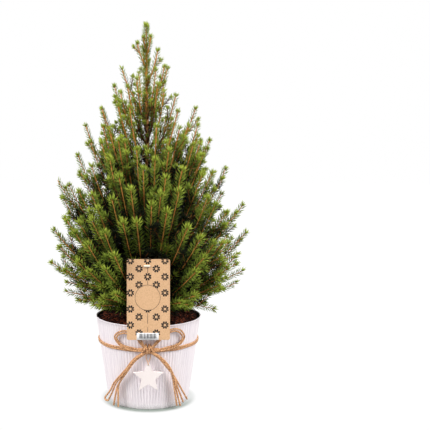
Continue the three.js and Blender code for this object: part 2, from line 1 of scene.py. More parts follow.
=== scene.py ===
"""A dwarf spruce in a whitewashed zinc planter, with a jute bow, a wooden star and a card label.

Everything is in metres, with +Z up, the front towards -Y and the planter's underside at the origin.
The plant grows by the same seeded rule as the solids that it replaces, carried on to finer twigs.
"""

import logging
import math
from dataclasses import dataclass, field
from enum import Enum
from typing import Callable

import bmesh
import bpy
import numpy as np
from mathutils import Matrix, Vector


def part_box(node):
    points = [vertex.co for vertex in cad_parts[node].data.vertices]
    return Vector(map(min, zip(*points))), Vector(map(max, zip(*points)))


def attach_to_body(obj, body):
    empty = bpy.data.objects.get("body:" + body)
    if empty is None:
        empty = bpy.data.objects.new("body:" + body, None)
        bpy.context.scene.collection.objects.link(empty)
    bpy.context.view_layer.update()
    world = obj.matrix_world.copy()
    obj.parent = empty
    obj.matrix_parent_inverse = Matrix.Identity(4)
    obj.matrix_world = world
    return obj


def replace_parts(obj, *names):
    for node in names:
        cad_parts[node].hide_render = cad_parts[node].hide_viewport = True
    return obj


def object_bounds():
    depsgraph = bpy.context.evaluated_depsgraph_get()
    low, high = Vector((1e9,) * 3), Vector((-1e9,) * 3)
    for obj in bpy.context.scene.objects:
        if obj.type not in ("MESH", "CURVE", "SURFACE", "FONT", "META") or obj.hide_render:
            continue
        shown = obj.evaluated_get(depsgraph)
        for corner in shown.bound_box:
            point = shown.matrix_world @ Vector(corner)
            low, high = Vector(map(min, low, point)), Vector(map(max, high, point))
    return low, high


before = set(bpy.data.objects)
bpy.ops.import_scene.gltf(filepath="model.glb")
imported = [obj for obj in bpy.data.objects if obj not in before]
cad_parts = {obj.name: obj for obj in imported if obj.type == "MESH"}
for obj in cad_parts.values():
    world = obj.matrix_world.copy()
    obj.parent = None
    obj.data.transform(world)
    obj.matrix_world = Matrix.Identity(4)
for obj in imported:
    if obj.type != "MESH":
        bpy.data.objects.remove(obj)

CAD_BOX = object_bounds()
BODY = "root"
TAU = 2 * math.pi
GOLDEN_ANGLE = math.radians(137.5)
FRONT = -math.pi / 2
UP = np.array([0.0, 0.0, 1.0])
RIGHT = np.array([1.0, 0.0, 0.0])
ASIDE = np.array([0.3, -0.2, 1.0])
WHITE = (1.0, 1.0, 1.0, 1.0)
BLACK = (0.0, 0.0, 0.0, 1.0)

Array = np.ndarray
Skin = tuple[Array, Array, Array]
Span = tuple[float, float]
Colour = tuple[float, float, float]
Stops = list[tuple[float, float, float]]
Material = bpy.types.Material
log = logging.getLogger("spruce")


class Slot(Enum):
    """The record's material slots."""

    ZINC = "whitewashed_zinc"
    MULCH = "bark_mulch"
    BARK = "bark"
    NEEDLES = "needles"
    TWINE = "jute_twine"
    WOOD = "painted_wood"
    CARD = "kraft_card"
    PLASTIC = "white_plastic"


# Small tools for points, lines and meshes.


def unit(vectors: Array) -> Array:
    """Scales vectors to length 1, along their last axis."""
    return vectors / np.maximum(np.linalg.norm(vectors, axis=-1, keepdims=True), 1e-12)


def blend(low: Array | float, high: Array | float, value: Array | float) -> Array:
    """A smooth step from 0 at low to 1 at high."""
    share = np.clip((value - low) / (high - low), 0, 1)
    return share * share * (3 - 2 * share)


def step_lengths(path: Array) -> Array:
    """The distances from each point of a path to the next."""
    return np.linalg.norm(np.diff(path, axis=0), axis=1)


def length_of(path: Array) -> float:
    """The length of a path."""
    return float(step_lengths(path).sum())


def distances_along(path: Array) -> Array:
    """How far along a path each of its points lies."""
    return np.concatenate([[0], np.cumsum(step_lengths(path))])


def tangents_of(path: Array) -> Array:
    """Unit vectors along a path at each of its points."""
    return unit(np.gradient(path, axis=0))


def frames_along(path: Array, across: Array) -> tuple[Array, Array, Array]:
    """Axes that follow a path and turn as little as they can.

    Args:
        path: Points along the path.
        across: A direction that the first side vector leans to.

    Returns:
        The tangents, the side vectors and the vectors square to both.
    """
    tangents = tangents_of(path)
    sides = np.empty_like(tangents)
    side = across
    for i, tangent in enumerate(tangents):
        side = side - tangent * side.dot(tangent)
        side = side / max(np.linalg.norm(side), 1e-9)
        sides[i] = side
    return tangents, sides, np.cross(tangents, sides)


def resampled(path: Array, count: int) -> Array:
    """The same path with evenly spaced points.

    Args:
        path: Points along the path.
        count: How many points it gets.

    Returns:
        The new points.
    """
    along = distances_along(path)
    wanted = np.linspace(0, along[-1], count)
    return np.stack([np.interp(wanted, along, path[:, axis]) for axis in range(3)], axis=1)


def smooth_path(stops: Array | list[Array], spacing: float) -> Array:
    """A smooth line through stops, with evenly spaced points.

    Args:
        stops: The points that the line passes through.
        spacing: The distance between the points that it gets.

    Returns:
        The points along the line.
    """
    stops = np.asarray(stops, float)
    padded = np.vstack([2 * stops[0] - stops[1], stops, 2 * stops[-1] - stops[-2]])
    share = np.linspace(0, 1, 16, endpoint=False)[:, None]
    spans = []
    for a, b, c, d in zip(padded, padded[1:], padded[2:], padded[3:]):
        squared = (2 * a - 5 * b + 4 * c - d) * share**2
        cubed = (3 * b - a - 3 * c + d) * share**3
        spans.append(0.5 * (2 * b + (c - a) * share + squared + cubed))
    path = np.vstack([*spans, stops[-1:]])
    return resampled(path, max(4, round(length_of(path) / spacing)))


def ring_faces(rings: int, sides: int) -> Array:
    """Quads between rings of points that close on themselves, facing outwards on a tube.

    Args:
        rings: How many rings there are.
        sides: How many points each has.

    Returns:
        The quads.
    """
    ring, side = np.meshgrid(np.arange(rings - 1) * sides, np.arange(sides), indexing="ij")
    after = (side + 1) % sides
    corners = [ring + side, ring + after, ring + sides + after, ring + sides + side]
    return np.stack(corners, axis=-1).reshape(-1, 4)


def end_faces(rings: int, sides: int) -> Array:
    """Triangles that close rings of points with the two end points that follow them.

    Args:
        rings: How many rings there are.
        sides: How many points each has.

    Returns:
        The triangles.
    """
    first = np.arange(sides)
    after = (first + 1) % sides
    last = (rings - 1) * sides
    start = np.stack([np.full(sides, rings * sides), after, first], axis=1)
    end = np.stack([np.full(sides, rings * sides + 1), last + first, last + after], axis=1)
    return np.vstack([start, end])


def tube(path: Array, radii: Array, sides: int, across: Array = UP + 0.01) -> Skin:
    """A closed tube along a path.

    Args:
        path: Points along its middle.
        radii: Its radius at each point, or at each point and side.
        sides: How many sides it has.
        across: A direction that its first side faces.

    Returns:
        Its points, its quads and the triangles of its two ends.
    """
    _, side, up = frames_along(path, across)
    angle = (np.arange(sides) * TAU / sides)[:, None]
    spokes = np.cos(angle) * side[:, None] + np.sin(angle) * up[:, None]
    reach = radii[:, None] if radii.ndim == 1 else radii
    wall = (path[:, None] + spokes * reach[..., None]).reshape(-1, 3)
    points = np.vstack([wall, path[:1], path[-1:]])
    return points, ring_faces(len(path), sides), end_faces(len(path), sides)


def even_tube(path: Array, radius: float, sides: int, across: Array = UP + 0.01) -> Skin:
    """A closed tube with one radius all along its path."""
    return tube(path, np.full(len(path), radius), sides, across)


@dataclass
class Stock:
    """Points and faces gathered from many small shapes into one piece."""

    points: list[Array] = field(default_factory=list)
    faces: list[Array] = field(default_factory=list)
    count: int = 0

    def add(self, points: Array, *faces: Array) -> None:
        """Adds one shape.

        Args:
            points: Its points.
            faces: Arrays of faces with alike numbers of corners, counted from its first point.
        """
        self.points.append(points)
        self.faces.extend(rows + self.count for rows in faces)
        self.count += len(points)

    def build(self, name: str, slot: Slot, material: Material, smooth: bool = True) -> bpy.types.Object:
        """Makes the piece, dresses it and lets it ride on the part.

        Args:
            name: The piece's name.
            slot: The record's slot for it, which is only logged.
            material: Its material.
            smooth: Whether its faces are shaded as one round surface.

        Returns:
            The new object.
        """
        points = np.concatenate(self.points).astype(np.float32)
        corners = np.concatenate([rows.ravel() for rows in self.faces]).astype(np.int32)
        sizes = np.concatenate([np.full(len(rows), rows.shape[1]) for rows in self.faces])
        starts = np.concatenate([[0], np.cumsum(sizes)[:-1]]).astype(np.int32)
        mesh = bpy.data.meshes.new(name)
        mesh.vertices.add(len(points))
        mesh.vertices.foreach_set("co", points.ravel())
        mesh.loops.add(len(corners))
        mesh.loops.foreach_set("vertex_index", corners)
        mesh.polygons.add(len(sizes))
        mesh.polygons.foreach_set("loop_start", starts)
        mesh.polygons.foreach_set("use_smooth", np.full(len(sizes), smooth))
        mesh.update(calc_edges=True)
        mesh.validate()
        return settle(bpy.data.objects.new(name, mesh), slot, material)


def settle(piece: bpy.types.Object, slot: Slot, material: Material) -> bpy.types.Object:
    """Links a piece, gives it its material, logs its slot and lets it ride on the part.

    Args:
        piece: The piece.
        slot: The record's slot for it, which is only logged.
        material: Its material.

    Returns:
        The same piece.
    """
    piece.data.materials.clear()
    piece.data.materials.append(material)
    bpy.context.scene.collection.objects.link(piece)
    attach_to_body(piece, BODY)
    triangles = sum(len(face.vertices) - 2 for face in piece.data.polygons)
    log.info("%s: %d triangles, slot %s", piece.name, triangles, slot.value)
    return piece


def revolved(profile: Array, sides: int, relief: Callable[[Array, Array], Array] | None = None) -> Stock:
    """A closed shape of revolution about +Z.

    Args:
        profile: Its [radius, height] points, from the axis at the bottom round the outside to the axis.
        sides: How many sides it has.
        relief: What to add to each radius, from the angles and the heights.

    Returns:
        The shape's points and faces.
    """
    angle = np.arange(sides) * TAU / sides
    middle = profile[1:-1]
    radius = np.repeat(middle[:, :1], sides, axis=1)
    if relief:
        radius = radius + relief(angle[None, :], middle[:, 1:])
    height = np.repeat(middle[:, 1:], sides, axis=1)
    wall = np.stack([radius * np.cos(angle), radius * np.sin(angle), height], axis=-1).reshape(-1, 3)
    poles = np.array([[0, 0, profile[0, 1]], [0, 0, profile[-1, 1]]])
    stock = Stock()
    stock.add(np.vstack([wall, poles]), ring_faces(len(middle), sides), end_faces(len(middle), sides))
    return stock


@dataclass
class Lattice:
    """Smooth seeded noise over a sheet that closes round on itself."""

    around: int
    along: int
    seed: int

    def at(self, turn: Array, share: Array) -> Array:
        """The noise at places on the sheet.

        Args:
            turn: How far round the places are, in full turns.
            share: How far along they are, from 0 to 1.

        Returns:
            Values from -1 to 1.
        """
        cells = np.random.RandomState(self.seed).uniform(-1, 1, (self.around, self.along + 2))
        u = np.mod(turn, 1) * self.around
        v = np.clip(share, 0, 1) * self.along
        i = np.floor(u).astype(int)
        j = np.floor(v).astype(int)
        fu = blend(0, 1, u - i)
        fv = blend(0, 1, v - j)
        here = i % self.around
        after = (i + 1) % self.around
        low, high = (cells[here, row] * (1 - fu) + cells[after, row] * fu for row in (j, j + 1))
        return low * (1 - fv) + high * fv


# Finishes.


@dataclass
class Wiring:
    """Places and joins nodes in one node tree."""

    tree: bpy.types.NodeTree

    def add(self, kind: str, **settings: object) -> bpy.types.Node:
        """Adds a node.

        Args:
            kind: The node's type.
            settings: Values for its properties.

        Returns:
            The node.
        """
        node = self.tree.nodes.new(kind)
        for name, value in settings.items():
            setattr(node, name, value)
        return node

    def feed(self, node: bpy.types.Node, **inputs: object) -> bpy.types.Node:
        """Gives a node's inputs values or links.

        Args:
            node: The node to feed.
            inputs: A value, or an output socket to link, for each input by its name with _ for a blank,
                or by n and its number.

        Returns:
            The same node.
        """
        for name, value in inputs.items():
            socket = node.inputs[int(name[1:]) if name[1:].isdigit() else name.replace("_", " ")]
            if isinstance(value, bpy.types.NodeSocket):
                self.tree.links.new(value, socket)
            else:
                socket.default_value = value
        return node

    def place(self) -> bpy.types.NodeSocket:
        """The place on the object."""
        return self.add("ShaderNodeTexCoord").outputs["Object"]

    def parts(self, vector: object) -> bpy.types.NodeOutputs:
        """The X, Y and Z of a vector."""
        return self.feed(self.add("ShaderNodeSeparateXYZ"), Vector=vector).outputs

    def math(self, operation: str, first: object, second: object = 0.0) -> bpy.types.NodeSocket:
        """A sum of two values."""
        return self.feed(self.add("ShaderNodeMath", operation=operation), n0=first, n1=second).outputs[0]

    def times(self, first: object, second: object) -> bpy.types.NodeSocket:
        """The product of two values."""
        return self.math("MULTIPLY", first, second)

    def scaled(self, vector: object, factors: object) -> bpy.types.NodeSocket:
        """A vector with each of its parts multiplied."""
        node = self.add("ShaderNodeVectorMath", operation="MULTIPLY")
        return self.feed(node, n0=vector, n1=factors).outputs[0]

    def length(self, vector: object) -> bpy.types.NodeSocket:
        """The length of a vector."""
        return self.feed(self.add("ShaderNodeVectorMath", operation="LENGTH"), n0=vector).outputs["Value"]

    def mix(self, factor: object, first: object, second: object) -> bpy.types.NodeSocket:
        """A mix of two colours."""
        node = self.add("ShaderNodeMix", data_type="RGBA")
        return self.feed(node, n0=factor, n6=first, n7=second).outputs[2]

    def noise(self, vector: object, scale: float, detail: float) -> bpy.types.NodeSocket:
        """A cloud of values about 0.5 at a scale."""
        node = self.add("ShaderNodeTexNoise")
        return self.feed(node, Vector=vector, Scale=scale, Detail=detail).outputs[0]

    def ramp(self, value: object, low: float, high: float) -> bpy.types.NodeSocket:
        """A smooth mask that goes from 0 to 1 between two values."""
        node = self.add("ShaderNodeMapRange", interpolation_type="SMOOTHSTEP")
        return self.feed(node, Value=value, From_Min=low, From_Max=high).outputs[0]

    def seen_or_lit(self, lit: float, seen: float) -> bpy.types.NodeSocket:
        """One value for what the camera sees directly, and another for what lights the scene."""
        direct = self.add("ShaderNodeLightPath").outputs["Is Camera Ray"]
        return self.math("ADD", lit, self.times(direct, seen - lit))


def rgba(colour: Colour) -> tuple[float, float, float, float]:
    """A colour from 0-255 screen values to the linear values that a shader takes."""
    linear = [((c / 255 + 0.055) / 1.055) ** 2.4 if c > 10 else c / 255 / 12.92 for c in colour]
    return (*linear, 1.0)


def new_material(name: str) -> tuple[Material, Wiring, bpy.types.Node]:
    """Starts a material.

    Args:
        name: The material's name.

    Returns:
        The material, the wiring of its nodes and its shader.
    """
    material = bpy.data.materials.new(name)
    material.use_nodes = True
    return material, Wiring(material.node_tree), material.node_tree.nodes["Principled BSDF"]


def new_group(name: str, inputs: dict[str, object], outputs: dict[str, str]) -> Wiring:
    """Starts a shader node group.

    Args:
        name: The group's name.
        inputs: Each input's name and default value: a number or a colour.
        outputs: Each output's name and socket type.

    Returns:
        The wiring of the group's nodes.
    """
    group = bpy.data.node_groups.new(name, "ShaderNodeTree")
    for label, value in inputs.items():
        kind = "NodeSocketColor" if isinstance(value, tuple) else "NodeSocketFloat"
        group.interface.new_socket(label, in_out="INPUT", socket_type=kind).default_value = value
    for label, kind in outputs.items():
        group.interface.new_socket(label, in_out="OUTPUT", socket_type=kind)
    return Wiring(group)


def mottle_group(cone_radius: float = 0.083, groove_wash_and_shade: float = 0.42) -> bpy.types.NodeTree:
    """The shared effect of a surface with two colours in clouds and grains, stretched along +Z or not.

    Where Round is 1 the pattern lies on a cone about the axis and follows its slope. Ribs is how many ribs
    the cone has: the second colour lies in the grooves between them, partly as thinner wash and partly as
    painted shade.

    Args:
        cone_radius: The radius at which the pattern on a cone keeps its size.
        groove_wash_and_shade: How much of the second colour lies in a groove, as thinner wash and painted
            shade.

    Returns:
        A group that gives the Colour and the Height of the surface.
    """
    numbers = {"Scale": 200.0, "Stretch": 1.0, "Amount": 0.5, "Grain": 900.0, "Round": 0.0, "Ribs": 0.0}
    inputs = {"Base": WHITE, "Second": WHITE, **numbers}
    wiring = new_group("mottle", inputs, {"Colour": "NodeSocketColor", "Height": "NodeSocketFloat"})
    given = wiring.add("NodeGroupInput").outputs
    place = wiring.place()
    out = wiring.length(wiring.scaled(place, (1.0, 1.0, 0.0)))
    narrower = wiring.math("DIVIDE", cone_radius, wiring.math("MAXIMUM", out, 0.001))
    excess = wiring.math("SUBTRACT", narrower, 1.0)
    even = wiring.math("ADD", wiring.times(excess, given["Round"]), 1.0)
    stretch = wiring.feed(wiring.add("ShaderNodeCombineXYZ"), X=even, Y=even, Z=given["Stretch"]).outputs[0]
    spread = wiring.scaled(place, stretch)
    clouds = wiring.noise(spread, given["Scale"], 5.0)
    grains = wiring.noise(spread, given["Grain"], 3.0)
    mask = wiring.times(wiring.ramp(clouds, 0.38, 0.66), given["Amount"])
    speck = wiring.times(wiring.ramp(grains, 0.45, 0.7), wiring.times(given["Amount"], 0.6))
    across = wiring.parts(place)
    turn = wiring.times(wiring.math("ARCTAN2", across["Y"], across["X"]), given["Ribs"])
    # The grooves between the ribs take the second colour: partly thinner wash, partly painted shade.
    groove = wiring.times(wiring.ramp(wiring.math("COSINE", turn), 0.1, -0.95), groove_wash_and_shade)
    wear_and_groove_shade = wiring.math("MAXIMUM", wiring.math("MAXIMUM", mask, speck), groove)
    colour = wiring.mix(wear_and_groove_shade, given["Base"], given["Second"])
    height = wiring.math("ADD", wiring.times(clouds, 0.6), wiring.times(grains, 0.4))
    wiring.feed(wiring.add("NodeGroupOutput"), Colour=colour, Height=height)
    return wiring.tree


@dataclass(frozen=True)
class Finish:
    """A matt or satin surface with two colours in clouds and grains."""

    name: str
    base: Colour
    second: Colour
    roughness: float = 0.7
    metallic: float = 0.0
    specular: float = 0.4
    scale: float = 200.0
    stretch: float = 1.0
    grain: float = 900.0
    amount: float = 0.6
    bump: float = 0.2
    relief: float = 0.0004
    sheen: float = 0.0
    round: float = 0.0
    ribs: float = 0.0

    def material(self, mottle: bpy.types.NodeTree) -> Material:
        """Makes the material.

        Args:
            mottle: The shared group that gives colour and height.

        Returns:
            The new material.
        """
        material, wiring, shader = new_material(self.name)
        surface = wiring.add("ShaderNodeGroup", node_tree=mottle)
        wiring.feed(surface, Base=rgba(self.base), Second=rgba(self.second), Scale=self.scale)
        wiring.feed(surface, Stretch=self.stretch, Amount=self.amount, Grain=self.grain)
        wiring.feed(surface, Round=self.round, Ribs=self.ribs)
        bump = wiring.add("ShaderNodeBump")
        wiring.feed(bump, Strength=self.bump, Distance=self.relief, Height=surface.outputs["Height"])
        wiring.feed(shader, Base_Color=surface.outputs["Colour"], Normal=bump.outputs[0])
        wiring.feed(shader, Roughness=self.roughness, Metallic=self.metallic)
        wiring.feed(shader, Specular_IOR_Level=self.specular, Sheen_Weight=self.sheen)
        return material


ZINC = Finish(
    "whitewashed zinc", (255, 247, 249), (218, 207, 216), roughness=0.6, metallic=0.05,
    scale=760, stretch=0.03, grain=1700, amount=0.5, bump=0.3, relief=0.0003, round=1.0, ribs=96,
)
# The planter's dark inside above the soil: partly soil stain, partly painted shade.
SOIL_STAIN_AND_SHADE = Finish("soil stain and painted shade", (42, 25, 18), (24, 15, 11), roughness=0.9, specular=0.1, scale=90, amount=0.7)
BARK_CHIP = Finish(
    "bark chips", (150, 76, 46), (84, 38, 24), roughness=0.9, specular=0.2, scale=300, amount=0.8,
)
MULCH = Finish(
    "bark mulch", (72, 31, 19), (8, 3, 2), roughness=0.95, specular=0.2, scale=240, amount=0.95, bump=0.8,
)
TRUNK_BARK = Finish(
    "trunk bark", (108, 68, 38), (54, 32, 19), roughness=0.88, scale=240, stretch=0.45, amount=0.85, bump=0.9,
)
YOUNG_BARK = Finish(
    "young bark", (206, 142, 84), (132, 84, 46), roughness=0.8, scale=300, stretch=0.4, amount=0.8, bump=0.8,
)
# Darker bark for the shoots deep in the crown: painted shade.
SHADED_SHOOT_BARK = Finish(
    "painted shade shoot bark", (124, 76, 38), (76, 45, 24), roughness=0.85, specular=0.15, scale=420, stretch=0.5,
    grain=1500, bump=0.6,
)
SHOOT_BARK = Finish(
    "shoot bark", (216, 144, 76), (150, 92, 44), roughness=0.8, specular=0.15, scale=420, stretch=0.5,
    grain=1500, bump=0.6,
)
JUTE = Finish(
    "jute", (242, 188, 136), (152, 96, 58), roughness=0.92, scale=460, grain=2400, amount=0.9, bump=0.9,
    relief=0.0003, sheen=0.2,
)
PAINTED_WOOD = Finish(
    "painted wood", (236, 226, 223), (224, 212, 208), roughness=0.68, scale=90, stretch=0.12, grain=700,
    amount=0.35, bump=0.25,
)
KRAFT = Finish("kraft card", (218, 177, 137), (192, 150, 108), roughness=0.88, scale=500, grain=2200)
INK = Finish("black ink", (20, 17, 17), (40, 34, 32), roughness=0.7, scale=900, amount=0.3, bump=0.05)
PAPER = Finish(
    "white paper", (250, 250, 251), (236, 237, 240), roughness=0.55, scale=400, amount=0.2, bump=0.05,
)
PLASTIC = Finish(
    "white plastic", (238, 226, 208), (222, 206, 184), roughness=0.35, scale=300, amount=0.2, bump=0.05,
)


class NeedleKind(Enum):
    """The kinds of needle, each with its name, its plain colour and its second colour. Apart from the dry
    ones they are partly the needles' ages and partly painted light and shade, the deepest near black.
    """

    DEEP_SHADE = ("needles_deep_shade", (9, 12, 4), (6, 8, 3))
    SHADE = ("needles_shade", (21, 28, 8), (11, 15, 5))
    MID = ("needles_mid", (92, 110, 34), (54, 68, 22))
    FRESH_AND_LIT = ("needles_fresh_and_lit", (134, 152, 54), (92, 112, 36))
    TIP = ("needles_tip", (158, 172, 62), (116, 136, 44))
    DRY = ("needles_dry", (170, 122, 64), (122, 82, 40))

    @property
    def finish(self) -> Finish:
        """The satin finish of this kind of needle."""
        return Finish(*self.value, roughness=0.6, specular=0.15, scale=60, grain=500, bump=0.1)


# The plant's rule, as the solids have it.


@dataclass
class Stream:
    """A repeatable stream of numbers from 0 to 1."""

    state: int

    def next(self) -> float:
        """The next number.

        Returns:
            A number from 0 to 1.
        """
        self.state = (self.state + 0x6D2B79F5) & 0xFFFFFFFF
        mixed = ((self.state ^ (self.state >> 15)) * (self.state | 1)) & 0xFFFFFFFF
        mixed ^= (mixed + ((mixed ^ (mixed >> 7)) * (mixed | 61))) & 0xFFFFFFFF
        mixed &= 0xFFFFFFFF
        return (mixed ^ (mixed >> 14)) / 4294967296

    def spread(self) -> float:
        """The next number, between -1 and 1."""
        return 2 * self.next() - 1


@dataclass
class Trunk:
    """The trunk: an even taper with a lean, a slow bend and a root flare."""

    foot: float
    top: float = 0.508
    crown_top: float = 0.677
    base_radius: float = 0.0066
    tip_radius: float = 0.0032
    flare: float = 0.0046
    flare_height: float = 0.008
    lean: float = -0.004
    bend: float = 0.0022
    young: float = 0.40
    furrow_depth: float = 0.07
    flake_depth: float = 0.06
    rings: int = 190
    sides: int = 30

    def centre(self, height: Array | float) -> Array:
        """Points on the centre line.

        Args:
            height: Their heights.

        Returns:
            The points.
        """
        height = np.asarray(height, float)
        share = (height - self.foot) / (self.crown_top - self.foot)
        return np.stack([self.lean * share, self.bend * np.sin(share * math.pi), height], axis=-1)

    def radius(self, height: Array | float) -> Array:
        """The trunk's radius.

        Args:
            height: The heights to give it for.

        Returns:
            The radii.
        """
        share = np.clip((np.asarray(height, float) - self.foot) / (self.top - self.foot), 0, 1)
        taper = self.base_radius + (self.tip_radius - self.base_radius) * share**0.8
        return taper + self.flare * np.exp(-(height - self.foot) / self.flare_height)

    def build(self, bark: Material, young_bark: Material) -> None:
        """Makes the trunk with furrowed, flaking bark, which is younger and lighter near its top.

        Args:
            bark: The old bark.
            young_bark: The bark above the height where it is young.
        """
        share = np.linspace(0, 1, self.rings)
        height = self.foot + (self.top - self.foot) * share
        turn = np.arange(self.sides)[None, :] / self.sides
        furrows = Lattice(11, 34, 3).at(turn, share[:, None])
        flakes = Lattice(15, 90, 4).at(turn, share[:, None])
        radius = self.radius(height)[:, None] * (1 + self.furrow_depth * furrows + self.flake_depth * flakes)
        split = int(np.searchsorted(height, self.young))
        old, young = Stock(), Stock()
        for stock, rows in ((old, slice(split + 1)), (young, slice(split, None))):
            stock.add(*tube(self.centre(height[rows]), radius[rows], self.sides, RIGHT))
        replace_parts(old.build("trunk_bark", Slot.BARK, bark), "trunk")
        young.build("trunk_young_bark", Slot.BARK, young_bark)


@dataclass
class Bough:
    """One bough: its line from the trunk to its tip, and its radii at the foot and the tip."""

    number: int
    line: Array
    foot_radius: float
    tip_radius: float

    @property
    def length(self) -> float:
        """The length of its line."""
        return length_of(self.line)

    def radii(self, count: int, power: float) -> Array:
        """Its radius at evenly spaced points, which falls the faster near its foot the less the power is."""
        return self.foot_radius + (self.tip_radius - self.foot_radius) * np.linspace(0, 1, count) ** power


@dataclass(frozen=True)
class Filler:
    """A group of boughs between the planned ones: how many, and how far they go."""

    seed: int
    count: int
    turn: float
    reach: float
    varied: float
    drop: float
    below_top: float


FILLERS = (
    Filler(seed=500, count=16, turn=1.1, reach=0.84, varied=0.12, drop=0.004, below_top=0.275),
    Filler(seed=700, count=26, turn=2.3, reach=0.56, varied=0.14, drop=0.010, below_top=0.190),
)


@dataclass
class CrownPlan:
    """The outline of the crown, and where each bough of it goes."""

    trunk: Trunk
    boughs: int = 32
    turn: float = math.radians(34)
    seed: int = 58240
    foot: float = 0.160
    top: float = 0.677
    foot_reach: float = 0.112
    widest_reach: float = 0.176
    widest: float = 0.300
    taper_power: float = 0.76
    rise: float = 0.166
    stem_radius: float = 0.00115
    line_points: int = 49
    drawn_in: float = 0.16
    drawn_band: tuple[float, float] = (0.48, 0.56)
    few_fellows_over: float = 0.500
    label_bough: int = 20
    label_height: float = 0.350
    label_reach: float = 0.103
    behind_label: float = 0.088

    def reach(self, height: Array | float) -> Array:
        """How far the crown reaches from the trunk.

        Args:
            height: The heights to give it for.

        Returns:
            The distances.
        """
        height = np.asarray(height, float)
        low = np.clip((height - self.foot) / (self.widest - self.foot), -0.5, 1)
        high = (height - self.widest) / (self.top - self.widest)
        below = self.foot_reach + (self.widest_reach - self.foot_reach) * np.sin(low * math.pi / 2)
        above = self.widest_reach * np.clip(1 - high, 0, 1) ** self.taper_power
        return np.where(height < self.widest, below, above)

    def bough(self, number: int) -> Bough:
        """Plans one bough, with the same numbers as the solids have and the top ones drawn in a little.

        Args:
            number: Its number, from 0 at the crown's foot.

        Returns:
            The bough.
        """
        stream = Stream(self.seed + number)
        level = 1 - math.sqrt(1 - (number + 0.5) / self.boughs)
        height = self.foot + level * (self.top - 0.026 - self.foot) + 0.007 * stream.spread()
        azimuth = self.turn + number * GOLDEN_ANGLE + 0.13 * stream.spread()
        reach = float(self.reach(height)) * (0.96 + 0.1 * stream.spread())
        reach *= 1 - self.drawn_in * float(blend(*self.drawn_band, height))
        if number == self.label_bough:
            height, azimuth, reach = self.label_height, FRONT, self.label_reach
        elif math.cos(azimuth - FRONT) > 0.82 and height < 0.330:
            reach = min(reach, self.behind_label)
        return self.bough_to(number, height, azimuth, reach, stream)

    def filler(self, group: Filler, number: int) -> Bough:
        """One more bough between the planned ones, that fills the crown out.

        Args:
            group: The group that it belongs to.
            number: Its number in the group, from 0 at the crown's foot.

        Returns:
            The bough.
        """
        stream = Stream(self.seed + group.seed + number)
        level = 1 - math.sqrt(1 - (number + 0.5) / group.count)
        height = self.foot + group.drop + level * (self.top - group.below_top - self.foot)
        height += 0.01 * stream.spread()
        azimuth = self.turn + group.turn + number * GOLDEN_ANGLE + 0.2 * stream.spread()
        reach = float(self.reach(height)) * (group.reach + group.varied * stream.spread())
        if math.cos(azimuth - FRONT) > 0.92 and height < 0.300:
            reach = min(reach, 1.06 * self.behind_label)
        return self.bough_to(group.seed + number, height, azimuth, reach, stream)

    def leading(self, number: int, tip: tuple[int, int, int]) -> list[Bough]:
        """A bough to one of the leading tips, and its fellow on the far side of the crown.

        Args:
            number: The tip's number.
            tip: Its place in millimetres.

        Returns:
            The bough on the near side, and the one on the far side where they would not be the same.
        """
        stream = Stream(self.seed + 900 + number)
        place = np.array(tip) / 1000
        made = [self.bough_at(900 + number, place, stream)]
        if tip[1] < -20 and (place[2] < self.few_fellows_over or number % 2):
            slip = 0.012 * np.array([stream.spread(), stream.spread(), stream.spread()])
            far = place * np.array([-1, -1.05, 1]) + slip
            made.append(self.bough_at(1100 + number, far, stream))
        return made

    def bough_at(self, number: int, tip: Array, stream: Stream) -> Bough:
        """Bends a bough straight from the trunk to a tip at a place.

        Args:
            number: The bough's number.
            tip: The place.
            stream: The numbers that vary it.

        Returns:
            The bough.
        """
        out = (tip - self.trunk.centre(tip[2]))[:2]
        reach = float(np.hypot(*out))
        return self.bough_to(number, float(tip[2]), math.atan2(out[1], out[0]), reach, stream, leading=True)

    def bough_to(
        self, number: int, height: float, azimuth: float, reach: float, stream: Stream, leading: bool = False
    ) -> Bough:
        """Bends a bough from the trunk to a tip at a height, a direction and a reach.

        Args:
            number: The bough's number.
            height: The height of its tip.
            azimuth: The direction that it leaves the trunk in.
            reach: How far its tip is from the trunk.
            stream: The numbers that vary it.
            leading: Whether it goes straight to its tip, and leaves the trunk no lower than it needs to.

        Returns:
            The bough.
        """
        share = max(0, (height - self.foot) / (self.top - self.foot))
        attach = height - self.rise * math.sin(math.pi * share / 1.08)
        tip_lean = math.radians(15 + 90 * math.exp(-4.95 * share) + 5 * stream.spread())
        start_lean = math.radians(88 - 50 * share)
        sweep = 0 if leading else 0.16 * stream.spread()
        if leading:
            attach = max(attach, height - 1.5 * reach - 0.005)
        foot = self.trunk.centre(attach)
        tip = foot + reach * np.array([math.cos(azimuth + sweep), math.sin(azimuth + sweep), 0])
        tip[2] = height
        handle = 0.36 * np.linalg.norm(tip - foot)
        after = foot + handle * self.leaning(azimuth, start_lean)
        before = tip - handle * self.leaning(azimuth + sweep, tip_lean)
        t = np.linspace(0, 1, self.line_points)[:, None]
        line = (1 - t) ** 3 * foot + 3 * (1 - t) ** 2 * t * after + 3 * (1 - t) * t**2 * before + t**3 * tip
        line = resampled(line, self.line_points)
        return Bough(number, line, 0.00135 + 0.0062 * length_of(line), self.stem_radius)

    @staticmethod
    def leaning(azimuth: float, lean: float) -> Array:
        """A direction with a lean from +Z towards an azimuth."""
        flat = math.sin(lean)
        return np.array([math.cos(azimuth) * flat, math.sin(azimuth) * flat, math.cos(lean)])


